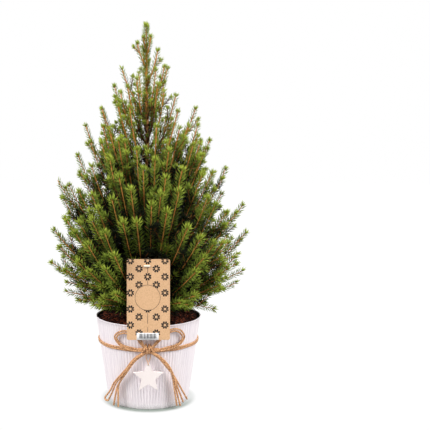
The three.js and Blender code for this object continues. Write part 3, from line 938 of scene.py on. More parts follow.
# The tips of the leading shoots on the near side, as x, y and z in millimetres.
LEADING_TIPS = (
    (-9, -12, 652), (4, -18, 652), (-20, -19, 640), (16, -31, 625), (-48, -23, 594), (27, -42, 594),
    (12, -50, 588), (-21, -55, 572), (-61, -29, 563), (15, -61, 562), (-37, -54, 558), (26, -64, 549),
    (-49, -52, 548), (47, -56, 543), (-53, -61, 524), (83, -22, 523), (-84, -20, 522), (-33, -73, 521),
    (50, -67, 515), (-115, 0, 493), (85, -48, 491), (67, -68, 489), (-80, -54, 489), (52, -79, 485),
    (-68, -70, 483), (110, 0, 467), (-52, -88, 464), (-104, -34, 463), (-41, -94, 461), (-82, -70, 459),
    (87, -65, 458), (75, -77, 456), (33, -101, 447), (-21, -104, 447), (-129, 0, 439), (92, -70, 438),
    (10, -111, 430), (-98, -74, 420), (139, 0, 416), (-10, -117, 414), (55, -106, 413), (-120, -49, 410),
    (108, -69, 408), (-50, -112, 402), (27, -119, 400), (-166, 0, 394), (-30, -125, 381), (-152, 0, 380),
    (49, -121, 378), (-120, -72, 376), (19, -128, 373), (-96, -99, 371), (97, -100, 366), (-61, -121, 365),
    (-155, 0, 361), (4, -128, 356), (111, -93, 354), (171, 0, 350), (-84, -116, 349), (29, -128, 345),
    (132, -76, 340), (-147, -57, 331), (-95, -116, 331), (-20, -128, 328), (-43, -128, 328), (63, -128, 319),
    (-72, -128, 310), (-123, -102, 309), (-173, 0, 304), (84, -128, 301), (177, 0, 300), (-33, -128, 297),
    (106, -120, 292), (133, -95, 291), (-100, -124, 290), (-153, -65, 281), (32, -84, 279), (-56, -128, 273),
    (90, -126, 269), (148, -66, 262), (-118, -103, 259), (-71, -128, 250), (77, -126, 246), (-177, 0, 245),
    (134, -77, 245), (-98, -113, 244), (43, -84, 233), (-163, 0, 232), (171, 0, 229), (120, -74, 215),
    (-55, -116, 207), (160, 0, 207), (78, -101, 202), (-151, 0, 191), (54, -106, 191), (-93, -74, 183),
    (-128, 0, 176), (120, 0, 159),
)


@dataclass
class KeepOut:
    """What the plant's finer parts stay clear of."""

    plan: CrownPlan
    soil_top: float
    rim: float
    label_half_width: float
    label_front: float
    label_top: float
    tie: tuple[Array, Array]
    mouth: float = 0.084
    pot: float = 0.100
    hang: float = 0.11
    tie_room: float = 0.0035
    outside: float = 0.004

    def clear(self, points: Array) -> Array:
        """Which points are clear of the planter, the soil, the label and its tie.

        Args:
            points: The points.

        Returns:
            True for each that is clear.
        """
        x, y, z = points.T
        radius = np.hypot(x, y)
        floor = np.where(radius > self.mouth, self.rim + 0.001, self.soil_top + 0.002)
        over_pot = (z > floor) | (radius > self.pot) & (z > self.hang)
        by_label = (np.abs(x) < self.label_half_width + 0.003) & (y < self.label_front + 0.004)
        near_tie = self.tie_distance(points) < self.tie_room
        return over_pot & ~(by_label & (z < self.label_top + 0.004)) & ~near_tie

    def tie_distance(self, points: Array) -> Array:
        """How far points are from the tie's filament.

        Args:
            points: The points.

        Returns:
            Their distances.
        """
        start, end = self.tie
        span = end - start
        share = np.clip((points - start) @ span / span.dot(span), 0, 1)
        return np.linalg.norm(points - start - share[:, None] * span, axis=1)

    def in_crown(self, points: Array, slack: float = 0.012) -> Array:
        """Which points lie within the crown's reach.

        Args:
            points: The points.
            slack: How far they may lie past it.

        Returns:
            True for each that does.
        """
        low, high = (np.array(corner) for corner in CAD_BOX)
        inside = np.all((points > low - self.outside) & (points < high + self.outside), axis=1)
        centre = self.plan.trunk.centre(points[:, 2])
        radius = np.linalg.norm((points - centre)[:, :2], axis=1)
        return inside & (radius < 1.07 * self.plan.reach(points[:, 2]) + slack)


@dataclass
class Shoot:
    """One needled shoot: its line, its radii, where its needles start and its order."""

    line: Array
    radii: Array
    bare: float
    order: int

    @property
    def length(self) -> float:
        """The length of its line."""
        return length_of(self.line)

    def at(self, share: Array) -> Array:
        """Points at shares of its length."""
        grid = np.linspace(0, 1, len(self.line))
        return np.stack([np.interp(share, grid, self.line[:, axis]) for axis in range(3)], axis=-1)

    def radius(self, share: Array) -> Array:
        """Its radius at shares of its length."""
        return np.interp(share, np.linspace(0, 1, len(self.radii)), self.radii)


@dataclass(frozen=True)
class ShootRule:
    """How side shoots leave their stem: spaced along it, each turned on by the golden angle.

    High up they are wider apart and shorter. Each tries the lengths in parts until one has room.
    """

    spacing: float
    first: float
    last: float
    per_length: float
    least: float
    extra: float
    shortest: float
    longest: float
    stems_over: float
    lean: float = math.radians(40)
    lift: float = 0.22
    curl: float = 0.12
    apart_high: float = 0.6
    apart_band: tuple[float, float] = (0.46, 0.58)
    shorter_high: float = 0.4
    shorter_band: tuple[float, float] = (0.50, 0.60)
    parts: tuple[float, ...] = (1, 0.8, 0.64, 0.5)
    bare: float = 0.002
    tip_radius: float = 0.0006
    slack: float = 0.003


FIRST_ORDER = ShootRule(
    spacing=0.023, first=0.26, last=0.82, per_length=0.22, least=0.010, extra=0.014, shortest=0.011,
    longest=0.052, stems_over=0.038,
)
SECOND_ORDER = ShootRule(
    spacing=0.014, first=0.35, last=0.85, per_length=0.28, least=0.008, extra=0.006, shortest=0.010,
    longest=0.022, stems_over=0.040,
)
TRUNK_SPURS = ShootRule(
    spacing=0.0046, first=0.0, last=1.0, per_length=0.0, least=0.016, extra=0.018, shortest=0.012,
    longest=0.034, stems_over=0.0,
)


@dataclass(frozen=True)
class NeedleRule:
    """How needles stand along a shoot and in the tuft that ends it. Leans are in degrees.

    Where a size has several numbers, the first is the plain one, the second is what a full brush adds, or
    the size on it, and the last is how much it varies.
    """

    pitch: tuple[float, float] = (0.00088, 0.00070)
    leader_pitch: float = 0.6
    thinner_high: float = 0.3
    thinner_band: tuple[float, float] = (0.42, 0.52)
    fewest: int = 6
    tuft: int = 11
    leader_tufts: int = 3
    leader_brush: float = 0.4
    tuft_depth: float = 0.0045
    roll_play: float = 0.5
    tuft_lean: tuple[float, float] = (24, 36)
    lean: tuple[float, float, float] = (54, 5, 16)
    lift: float = 0.08
    length: float = 0.0112
    vigour: tuple[float, float, float] = (0.86, 0.62, 0.06)
    length_play: float = 0.26
    tuft_length: float = 0.86
    body_length: float = 0.84
    foot_length: float = 0.74
    foot_zone: float = 0.02
    sunk: float = 0.8
    width: tuple[float, float] = (0.00092, 0.00088)
    width_band: tuple[float, float] = (0.36, 0.50)
    widest_at: float = 0.42
    hook: float = 0.12


@dataclass(frozen=True)
class SprayRule:
    """How the kinds of needle are dealt out, by depth in the crown and by distance from the shoot's tip.
    The deeper a needle, the darker its kind: painted shade.
    """

    depths: tuple[float, float, float] = (0.020, 0.037, 0.058)
    high_band: tuple[float, float] = (0.38, 0.47)
    high_share: float = 0.64
    past_reach: float = 0.004
    play: float = 0.012
    bough_start: float = 0.010
    bough_slope: tuple[float, float] = (0.34, 0.06)
    bough_play: float = 0.006
    side_depth: float = 0.014
    tuft: tuple[float, float] = (0.0056, 0.0016)
    lit_end: float = 0.014
    fresh_and_lit_tufts: float = 0.058
    bright_tufts: float = 0.040
    dry: float = 0.012


@dataclass
class Crown:
    """The needled crown: boughs, shoots and needles in joined pieces."""

    plan: CrownPlan
    keep_out: KeepOut
    needle: NeedleRule = NeedleRule()
    spray: SprayRule = SprayRule()
    plain_end: float = 0.046
    spurs: tuple[float, float] = (0.36, 0.50)
    most_faces: int = 190_000
    dark_share: float = 0.52
    bough_sides: int = 6
    leader_points: int = 40
    random: np.random.RandomState = field(default_factory=lambda: np.random.RandomState(5824))
    shoots: list[Shoot] = field(default_factory=list)
    limbs: list[Bough] = field(default_factory=list)
    leader: Shoot | None = None

    def grow(self) -> None:
        """Grows every bough, then its side shoots and their own side shoots."""
        plan = self.plan
        limbs = [plan.bough(k) for k in range(plan.boughs)]
        limbs += [plan.filler(group, k) for group in FILLERS for k in range(group.count)]
        for number, tip in enumerate(LEADING_TIPS):
            limbs += plan.leading(number, tip)
        self.limbs = [bough for bough in limbs if self.keep_out.clear(bough.line[16:]).all()]
        for bough in self.limbs:
            bare = 0.16 * bough.length * float(blend(0.06, 0.13, bough.length))
            self.shoots.append(Shoot(bough.line, bough.radii(plan.line_points, 0.75), 0.003 + bare, 0))
        self.leader = self.grow_leader()
        self.shoots.append(self.leader)
        inside = np.linspace(*self.spurs, 60)
        core = Shoot(plan.trunk.centre(inside), plan.trunk.radius(inside), 0.0, 0)
        spurs = self.side_shoots(core, TRUNK_SPURS)
        for stem in list(self.shoots):
            side = self.side_shoots(stem, FIRST_ORDER)
            self.shoots += side
            for shoot in side:
                self.shoots += self.side_shoots(shoot, SECOND_ORDER)
        self.shoots += spurs
        log.info("%d boughs, %d shoots", len(self.limbs), len(self.shoots))

    def grow_leader(self) -> Shoot:
        """Grows the leader from the trunk's top.

        Returns:
            The leader.
        """
        trunk = self.plan.trunk
        height = np.linspace(trunk.top - 0.004, self.plan.top - 0.0030, self.leader_points)
        radii = np.linspace(trunk.tip_radius, 0.6 * self.plan.stem_radius, self.leader_points)
        return Shoot(trunk.centre(height), radii, 0.002, 0)

    def side_shoots(self, stem: Shoot, rule: ShootRule) -> list[Shoot]:
        """Side shoots along one stem, by one rule.

        Args:
            stem: The stem that they leave.
            rule: Their spacing, lean and lengths.

        Returns:
            The shoots that have room.
        """
        tangents, sides, ups = frames_along(stem.line, ASIDE)
        first_roll = self.random.uniform(0, TAU)
        if stem.length < rule.stems_over:
            return []
        plain = self.plain_end * self.brush(stem) if rule is not TRUNK_SPURS else 0
        last = min(rule.last, 1 - plain / stem.length)
        spacing = rule.spacing * (1 + rule.apart_high * float(blend(*rule.apart_band, stem.line[-1, 2])))
        count = max(1, round(stem.length * (last - rule.first) / spacing))
        made = []
        for i in range(count):
            share = rule.first + (last - rule.first) * (i + 0.7 * self.random.uniform()) / count
            node = round(share * (len(stem.line) - 1))
            roll = first_roll + i * GOLDEN_ANGLE
            out = sides[node] * math.cos(roll) + ups[node] * math.sin(roll)
            ahead = tangents[node] * math.cos(rule.lean)
            direction = unit(ahead + out * math.sin(rule.lean) + rule.lift * UP)
            wanted = rule.per_length * stem.length * (1 - share) + rule.least
            wanted += rule.extra * self.random.uniform()
            wanted *= 1 - rule.shorter_high * float(blend(*rule.shorter_band, stem.line[node, 2]))
            made.append(self.side_shoot(stem, node, direction, min(wanted, rule.longest), rule))
        return [shoot for shoot in made if shoot]

    def side_shoot(
        self, stem: Shoot, node: int, direction: Array, wanted: float, rule: ShootRule
    ) -> Shoot | None:
        """One side shoot at the first of a few lengths that has room.

        Args:
            stem: The stem that it leaves.
            node: The point of the stem's line where it does.
            direction: The way it goes.
            wanted: The length that it would like to have.
            rule: Its rule.

        Returns:
            The shoot, or None where there is no room.
        """
        foot = stem.line[node]
        steps = np.linspace(0, 1, 9)[:, None]
        for part in rule.parts:
            length = part * wanted
            if length < rule.shortest:
                return None
            line = foot + steps * length * direction + steps**2 * length * rule.curl * UP
            end = line[-1:] + 0.005 * direction
            if self.keep_out.clear(line[2:]).all() and self.keep_out.in_crown(end, rule.slack).all():
                radius = min(0.8 * stem.radii[node], 0.0007 + 0.006 * length)
                radii = np.linspace(radius, rule.tip_radius, len(line))
                return Shoot(line, radii, rule.bare, stem.order + 1)
        return None

    def brush(self, shoot: Shoot) -> float:
        """How much a shoot is one of the full, plain brushes low on the front of the crown.

        Args:
            shoot: The shoot.

        Returns:
            A share from 0 to 1.
        """
        tip = shoot.line[-1]
        low = 1 - float(blend(0.36, 0.52, tip[2]))
        front = float(blend(0.3, 0.9, -tip[1] / max(0.02, np.hypot(tip[0], tip[1]))))
        return low * (0.15 + 0.85 * front)

    def needles_on(self, shoot: Shoot) -> tuple[Array, ...]:
        """Lays out the needles of one shoot: those along it, and the tuft that ends it.

        Args:
            shoot: The shoot.

        Returns:
            Their roots, directions, lengths, the shoot's direction there and their distances from its tip.
        """
        rule = self.needle
        length = shoot.length
        leader = shoot is self.leader
        brush = rule.leader_brush if leader else self.brush(shoot)
        pitch = rule.pitch[0] + (rule.pitch[1] - rule.pitch[0]) * brush
        thinner = 1 + rule.thinner_high * float(blend(*rule.thinner_band, shoot.line[-1, 2]))
        pitch *= rule.leader_pitch if leader else thinner
        body = max(rule.fewest, round((length - shoot.bare) / pitch))
        count = body + rule.tuft * (rule.leader_tufts if leader else 1)
        jitter = self.random.uniform(-0.5, 0.5, (4, count))
        along = shoot.bare + (length - shoot.bare) * (np.arange(count) + 0.5 + jitter[0]) / body
        tuft = np.arange(count) >= body
        along = np.where(tuft, length - rule.tuft_depth * (0.5 + jitter[0]), along)
        share = np.clip(along / length, 0, 1)
        tangents, sides, ups = frames_along(shoot.line, ASIDE)
        node = np.round(share * (len(shoot.line) - 1)).astype(int)
        roll = np.arange(count) * GOLDEN_ANGLE + rule.roll_play * jitter[1]
        out = np.cos(roll)[:, None] * sides[node] + np.sin(roll)[:, None] * ups[node]
        tuft_lean = rule.tuft_lean[0] + rule.tuft_lean[1] * jitter[2]
        body_lean = rule.lean[0] + rule.lean[1] * brush + rule.lean[2] * jitter[2]
        lean = np.radians(np.where(tuft, tuft_lean, body_lean))
        direction = np.cos(lean)[:, None] * tangents[node] + np.sin(lean)[:, None] * out + rule.lift * UP
        vigour = rule.vigour[0] + rule.vigour[1] * brush + rule.vigour[2] * self.random.uniform(-1, 1)
        size = rule.length * vigour * (1 + rule.length_play * jitter[3])
        size = size * np.where(tuft, rule.tuft_length, rule.body_length)
        size = size * (rule.foot_length + (1 - rule.foot_length) * blend(0, rule.foot_zone, along))
        root = shoot.at(share) + out * (rule.sunk * shoot.radius(share))[:, None]
        return root, unit(direction), size, tangents[node], length - along

    def needle_rows(self) -> tuple[Array, ...]:
        """Lays out the needles of every shoot, without those that would touch something else.

        Returns:
            The arrays of needles_on, a tint from -1 to 1 that is the same for one shoot's needles, and the
            shoots' orders.
        """
        rows = []
        for shoot in self.shoots:
            laid = self.needles_on(shoot)
            tint = np.full(len(laid[0]), self.random.uniform(-1, 1))
            rows.append((*laid, tint, np.full(len(tint), shoot.order)))
        columns = [np.concatenate(column) for column in zip(*rows)]
        root, direction, size = columns[:3]
        tip = root + direction * size[:, None]
        free = self.keep_out.clear(root) & self.keep_out.clear(tip) & self.keep_out.in_crown(tip)
        return tuple(column[free] for column in columns)

    def kinds(self, root: Array, to_tip: Array, tint: Array, order: Array) -> Array:
        """Deals the kinds out to sprays: darker kinds deeper in the crown as painted shade, brighter ones at
        its surface and at the shoots' tips, partly younger growth and partly painted light.

        Args:
            root: The needles' roots.
            to_tip: Their distances from their shoot's tip.
            tint: A number from -1 to 1, the same for one shoot's needles.
            order: 0 for a bough's needles, more for those of side shoots.

        Returns:
            The index of each needle's kind.
        """
        rule = self.spray
        centre = self.plan.trunk.centre(root[:, 2])
        away = np.linalg.norm((root - centre)[:, :2], axis=1)
        depth = self.plan.reach(root[:, 2]) + rule.past_reach - away
        # High in the crown depth counts for less, so needles there get brighter kinds: painted light.
        high = blend(*rule.high_band, root[:, 2])
        slope = rule.bough_slope[0] - rule.bough_slope[1] * high
        along_bough = rule.bough_start + slope * to_tip + rule.bough_play * tint
        depth = (1 - rule.high_share * high) * depth + rule.play * tint
        depth = np.where(order > 0, depth + rule.side_depth, np.minimum(depth, along_bough))
        deep, shade, mid, fresh_and_lit, tip, dry = range(len(NeedleKind))
        # Deeper needles get darker kinds, the deepest near black: painted shade.
        kind = np.array([fresh_and_lit, mid, shade, deep])[np.searchsorted(rule.depths, depth)]
        tuft = to_tip < rule.tuft[0] + rule.tuft[1] * tint
        # Needles near a tip and in the tufts at the surface get brighter kinds: partly younger growth, partly
        # painted light.
        kind[(to_tip < rule.lit_end) & (kind < mid)] += 1
        kind[tuft & (depth < rule.fresh_and_lit_tufts)] = fresh_and_lit
        kind[tuft & (depth < rule.bright_tufts)] = tip
        withered = self.random.uniform(size=len(root)) < rule.dry
        kind[withered & (kind < fresh_and_lit)] = dry
        return kind

    def needle_shapes(
        self, root: Array, direction: Array, size: Array, tangent: Array
    ) -> tuple[Array, Array]:
        """Makes needles as slim three-sided bodies, widest short of their middle.

        Args:
            root: Their roots.
            direction: The way each points.
            size: Their lengths.
            tangent: The shoot's direction at each root.

        Returns:
            Their points and triangles.
        """
        rule = self.needle
        count = len(root)
        low, high = rule.width
        width = low + (high - low) * (1 - blend(*rule.width_band, root[:, 2]))
        side = unit(np.cross(direction, tangent) + 1e-6)
        up = np.cross(direction, side)
        middle = root + (rule.widest_at * size)[:, None] * direction
        points = np.empty((count, 5, 3))
        points[:, 0] = root
        for i, spoke in enumerate((side, -0.5 * side + 0.87 * up, -0.5 * side - 0.87 * up)):
            points[:, 1 + i] = middle + spoke * width[:, None]
        points[:, 4] = root + unit(direction + rule.hook * tangent) * size[:, None]
        faces = np.array([[0, 2, 1], [0, 3, 2], [0, 1, 3], [4, 1, 2], [4, 2, 3], [4, 3, 1]])
        offset = 5 * np.arange(count)[:, None, None]
        return points.reshape(-1, 3), (faces + offset).reshape(-1, 3)

    def build_needles(self, materials: dict[NeedleKind, Material]) -> list[bpy.types.Object]:
        """Makes the needles, each kind in pieces under the limit of faces. Few of the deepest are kept.

        Args:
            materials: Each kind's material.

        Returns:
            The pieces.
        """
        root, direction, size, tangent, to_tip, tint, order = self.needle_rows()
        kinds = self.kinds(root, to_tip, tint, order)
        kept = (kinds > 0) | (np.arange(len(root)) % 5 < 3)
        shapes = [rows[kept] for rows in (root, direction, size, tangent)]
        kinds = kinds[kept]
        pieces = []
        for index, kind in enumerate(NeedleKind):
            chosen = np.flatnonzero(kinds == index)
            chosen = chosen[np.argsort(shapes[0][chosen, 2], kind="stable")]
            parts = max(1, math.ceil(6 * len(chosen) / self.most_faces))
            for number, rows in enumerate(np.array_split(chosen, parts)):
                stock = Stock()
                stock.add(*self.needle_shapes(*(column[rows] for column in shapes)))
                pieces.append(stock.build(f"{kind.value[0]}_{number + 1}", Slot.NEEDLES, materials[kind]))
        log.info("%d needles", len(kinds))
        return pieces

    def bough_skin(self, bough: Bough) -> tuple[Array, Array, int]:
        """The skin of a bough, with the relief of its bark.

        Args:
            bough: The bough.

        Returns:
            Points on its line, its radius all round at each of them, and how many of them have the trunk's
            dark bark, which are fewer on the short boughs near the top.
        """
        count = max(10, round(bough.length / 0.0075))
        line = resampled(bough.line, count)
        turn = np.arange(self.bough_sides)[None, :] / self.bough_sides
        share = np.linspace(0, 1, count)[:, None]
        relief = Lattice(self.bough_sides, count, bough.number + 7).at(turn, share)
        thickness = 0.58 + 0.26 * float(blend(0.40, 0.50, line[-1, 2])) + 0.10 * relief
        dark = max(1, round(self.dark_share * float(blend(0.05, 0.14, bough.length)) * count))
        return line, bough.radii(count, 0.45)[:, None] * thickness, dark

    def build_boughs(self, bark: Material) -> bpy.types.Object:
        """Makes the dark inner stretch of every bough in the trunk's bark: partly older bark, partly painted
        shade.

        Args:
            bark: The trunk's bark.

        Returns:
            The piece.
        """
        stock = Stock()
        for bough in self.limbs:
            line, radii, dark = self.bough_skin(bough)
            stock.add(*tube(line[: dark + 1], radii[: dark + 1], self.bough_sides))
        return stock.build("bough_bark", Slot.BARK, bark)

    def build_twigs(self, bark: Material, shaded_bark: Material) -> None:
        """Makes the outer stretch of every bough, the stems of the side shoots and the leader.

        Args:
            bark: The bark of the stems that the light reaches.
            shaded_bark: The darker bark of those deep in the crown, as painted shade.
        """
        lit = Stock()
        deep = Stock()
        for bough in self.limbs:
            line, radii, dark = self.bough_skin(bough)
            lit.add(*tube(line[dark:], radii[dark:], self.bough_sides))
        for shoot in self.shoots:
            if shoot.order > 0 or shoot is self.leader:
                line = resampled(shoot.line, max(4, round(shoot.length / 0.008)))
                radii = shoot.radius(np.linspace(0, 1, len(line)))
                radii = radii * (1 + 0.15 * blend(0.38, 0.50, line[:, 2]))
                foot = shoot.line[0]
                away = np.linalg.norm((foot - self.plan.trunk.centre(foot[2]))[:2])
                # Shoots deep in the crown get the darker bark: painted shade.
                hidden = shoot.order and self.plan.reach(foot[2]) - away > self.spray.depths[1]
                (deep if hidden else lit).add(*tube(line, radii, 4 if shoot.order else 8))
        lit.build("twig_bark", Slot.BARK, bark)
        deep.build("twig_bark_painted_shade", Slot.BARK, shaded_bark)


# The planter and its soil.


@dataclass
class Planter:
    """A ribbed, whitewashed zinc cone with a rolled lip, filled with bark mulch."""

    height: float = 0.150
    mouth_radius: float = 0.0941
    foot_radius: float = 0.0717
    wall: float = 0.0012
    floor: float = 0.0016
    lip_radius: float = 0.0011
    lip_proud: float = 0.0004
    under_lip: float = 0.003
    ribs: int = 96
    rib_depth: float = 0.0009
    ribs_from: tuple[float, float] = (0.006, 0.010)
    ribs_to: tuple[float, float] = (0.138, 0.143)
    sides_per_rib: int = 6
    outer_points: int = 23
    stain_and_shade_sheet: float = 0.0003
    soil_drop: float = 0.0040
    soil_crown: float = 0.005
    soil_sink: float = 0.0015
    chips: int = 1500
    light_every: int = 5

    @property
    def soil_edge(self) -> float:
        """The height of the soil at the wall."""
        return self.height - self.soil_drop

    def radius(self, height: Array | float) -> Array:
        """The wall's outer radius at given heights."""
        return self.foot_radius + (self.mouth_radius - self.foot_radius) * height / self.height

    def soil_height(self, radius: Array | float) -> Array:
        """The height of the soil at a distance from the middle."""
        return self.soil_edge + self.soil_crown * (1 - np.clip(radius / 0.085, 0, 1) ** 2)

    def relief(self, angle: Array, height: Array) -> Array:
        """The ribs pressed into the outer wall, which fade out above the foot and below the lip.

        Args:
            angle: Angles round the wall.
            height: The heights of the wall's profile.

        Returns:
            What the ribs add to the radius.
        """
        turn = angle / TAU
        share = height / self.height
        wander = 0.35 * Lattice(17, 5, 11).at(turn, share)
        strength = 0.65 + 0.35 * Lattice(40, 4, 12).at(turn, share)
        crest = np.cos(self.ribs * angle + wander)
        bands = blend(*self.ribs_from, height) * (1 - blend(*self.ribs_to, height))
        is_outer = np.arange(len(height))[:, None] < self.outer_points
        return np.where(is_outer, self.rib_depth * crest * strength * bands, 0)

    def build(self, zinc: Material) -> None:
        """Makes the wall with its ribs, its lip and its floor.

        Args:
            zinc: The whitewashed zinc.
        """
        lip_height = self.height - self.lip_radius
        lip_centre = self.radius(lip_height) + self.lip_proud
        bend = np.radians(np.linspace(-90, 170, 10))
        roll = np.stack([np.cos(bend), np.sin(bend)], axis=1)
        under = lip_height - self.under_lip
        outer = np.linspace(0.0012, under, 20)
        foot = self.foot_radius
        profile = np.vstack([
            [[0, 0.0006], [foot - 0.0026, 0.0006], [foot - 0.0020, 0], [foot - 0.0008, 0.0002]],
            np.stack([self.radius(outer), outer], axis=1),
            np.array([lip_centre, lip_height]) + self.lip_radius * roll,
            [[self.radius(under) - self.wall, under], [self.radius(self.floor) - self.wall, self.floor]],
            [[0, self.floor]],
        ])
        stock = revolved(profile, self.ribs * self.sides_per_rib, self.relief)
        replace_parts(stock.build("planter_wall", Slot.ZINC, zinc), "planter")

    def build_inside(self, stain_and_shade: Material) -> None:
        """Makes the dark sheet that lines the wall above the soil: partly soil stain and partly painted
        shade.

        Args:
            stain_and_shade: Its dark material, soil stain and painted shade.
        """
        low = self.soil_edge - 0.006
        high = self.height - 0.0012
        inner, mouth = np.array([self.radius(low), self.radius(high)]) - self.wall - 0.0001
        thin = self.stain_and_shade_sheet
        outside = [[0, low], [inner, low], [mouth, high]]
        inside = [[mouth - thin, high], [inner - thin, low + thin], [0, low + thin]]
        revolved(np.array(outside + inside), 120).build("planter_inside", Slot.ZINC, stain_and_shade)

    def build_mulch(self, mulch: Material, chips: Material) -> None:
        """Makes the filling and the chips of bark that lie on it.

        Args:
            mulch: The material of the filling and of most of its chips.
            chips: The material of the lighter chips.
        """
        inner = self.radius(self.soil_edge) - self.wall - 0.0005
        low = self.radius(self.floor) - self.wall - 0.001
        rings = np.linspace(inner, 0.006, 12)
        profile = np.vstack([
            [[0, self.floor + 0.0003], [low, self.floor + 0.0003]],
            np.stack([rings, self.soil_height(rings) - self.soil_sink], axis=1),
            [[0, self.soil_height(0.0) - self.soil_sink]],
        ])
        stock = revolved(profile, 72)
        light = Stock()
        faces = np.array([[0, 1, 3, 2], [4, 6, 7, 5], [0, 4, 5, 1], [2, 3, 7, 6], [0, 2, 6, 4], [1, 5, 7, 3]])
        random = np.random.RandomState(41)
        for number in range(self.chips):
            pile = light if number % self.light_every == 0 else stock
            pile.add(self.chip(random, inner - 0.003), faces)
        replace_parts(stock.build("mulch", Slot.MULCH, mulch, smooth=False), "soil")
        light.build("mulch_chips", Slot.MULCH, chips, smooth=False)

    def chip(self, random: np.random.RandomState, reach: float) -> Array:
        """One chip of bark: a rough block, turned and tilted, on the soil.

        Args:
            random: The numbers that vary it.
            reach: How far from the middle it may lie.

        Returns:
            Its eight corners.
        """
        radius = reach * math.sqrt(random.uniform())
        angle = random.uniform(0, TAU)
        size = np.array([random.uniform(0.0018, 0.0052), random.uniform(0.0010, 0.0025), 0.0007])
        turn = random.uniform(0, TAU)
        tilt = random.uniform(-0.5, 0.5)
        corners = np.array([[x, y, z] for x in (-1, 1) for y in (-1, 1) for z in (-1, 1)], float)
        block = corners * size * random.uniform(0.6, 1.2, (8, 3))
        cos, sin = math.cos(turn), math.sin(turn)
        spin = np.array([[cos, -sin, 0], [sin, cos, 0], [0, 0, 1]])
        cos, sin = math.cos(tilt), math.sin(tilt)
        lean = np.array([[cos, 0, sin], [0, 1, 0], [-sin, 0, cos]])
        height = self.soil_height(radius) - 0.0008 + random.uniform(0, 0.0022)
        place = np.array([radius * math.cos(angle), radius * math.sin(angle), height])
        return block @ (spin @ lean).T + place


# The twine, the bow and the star.


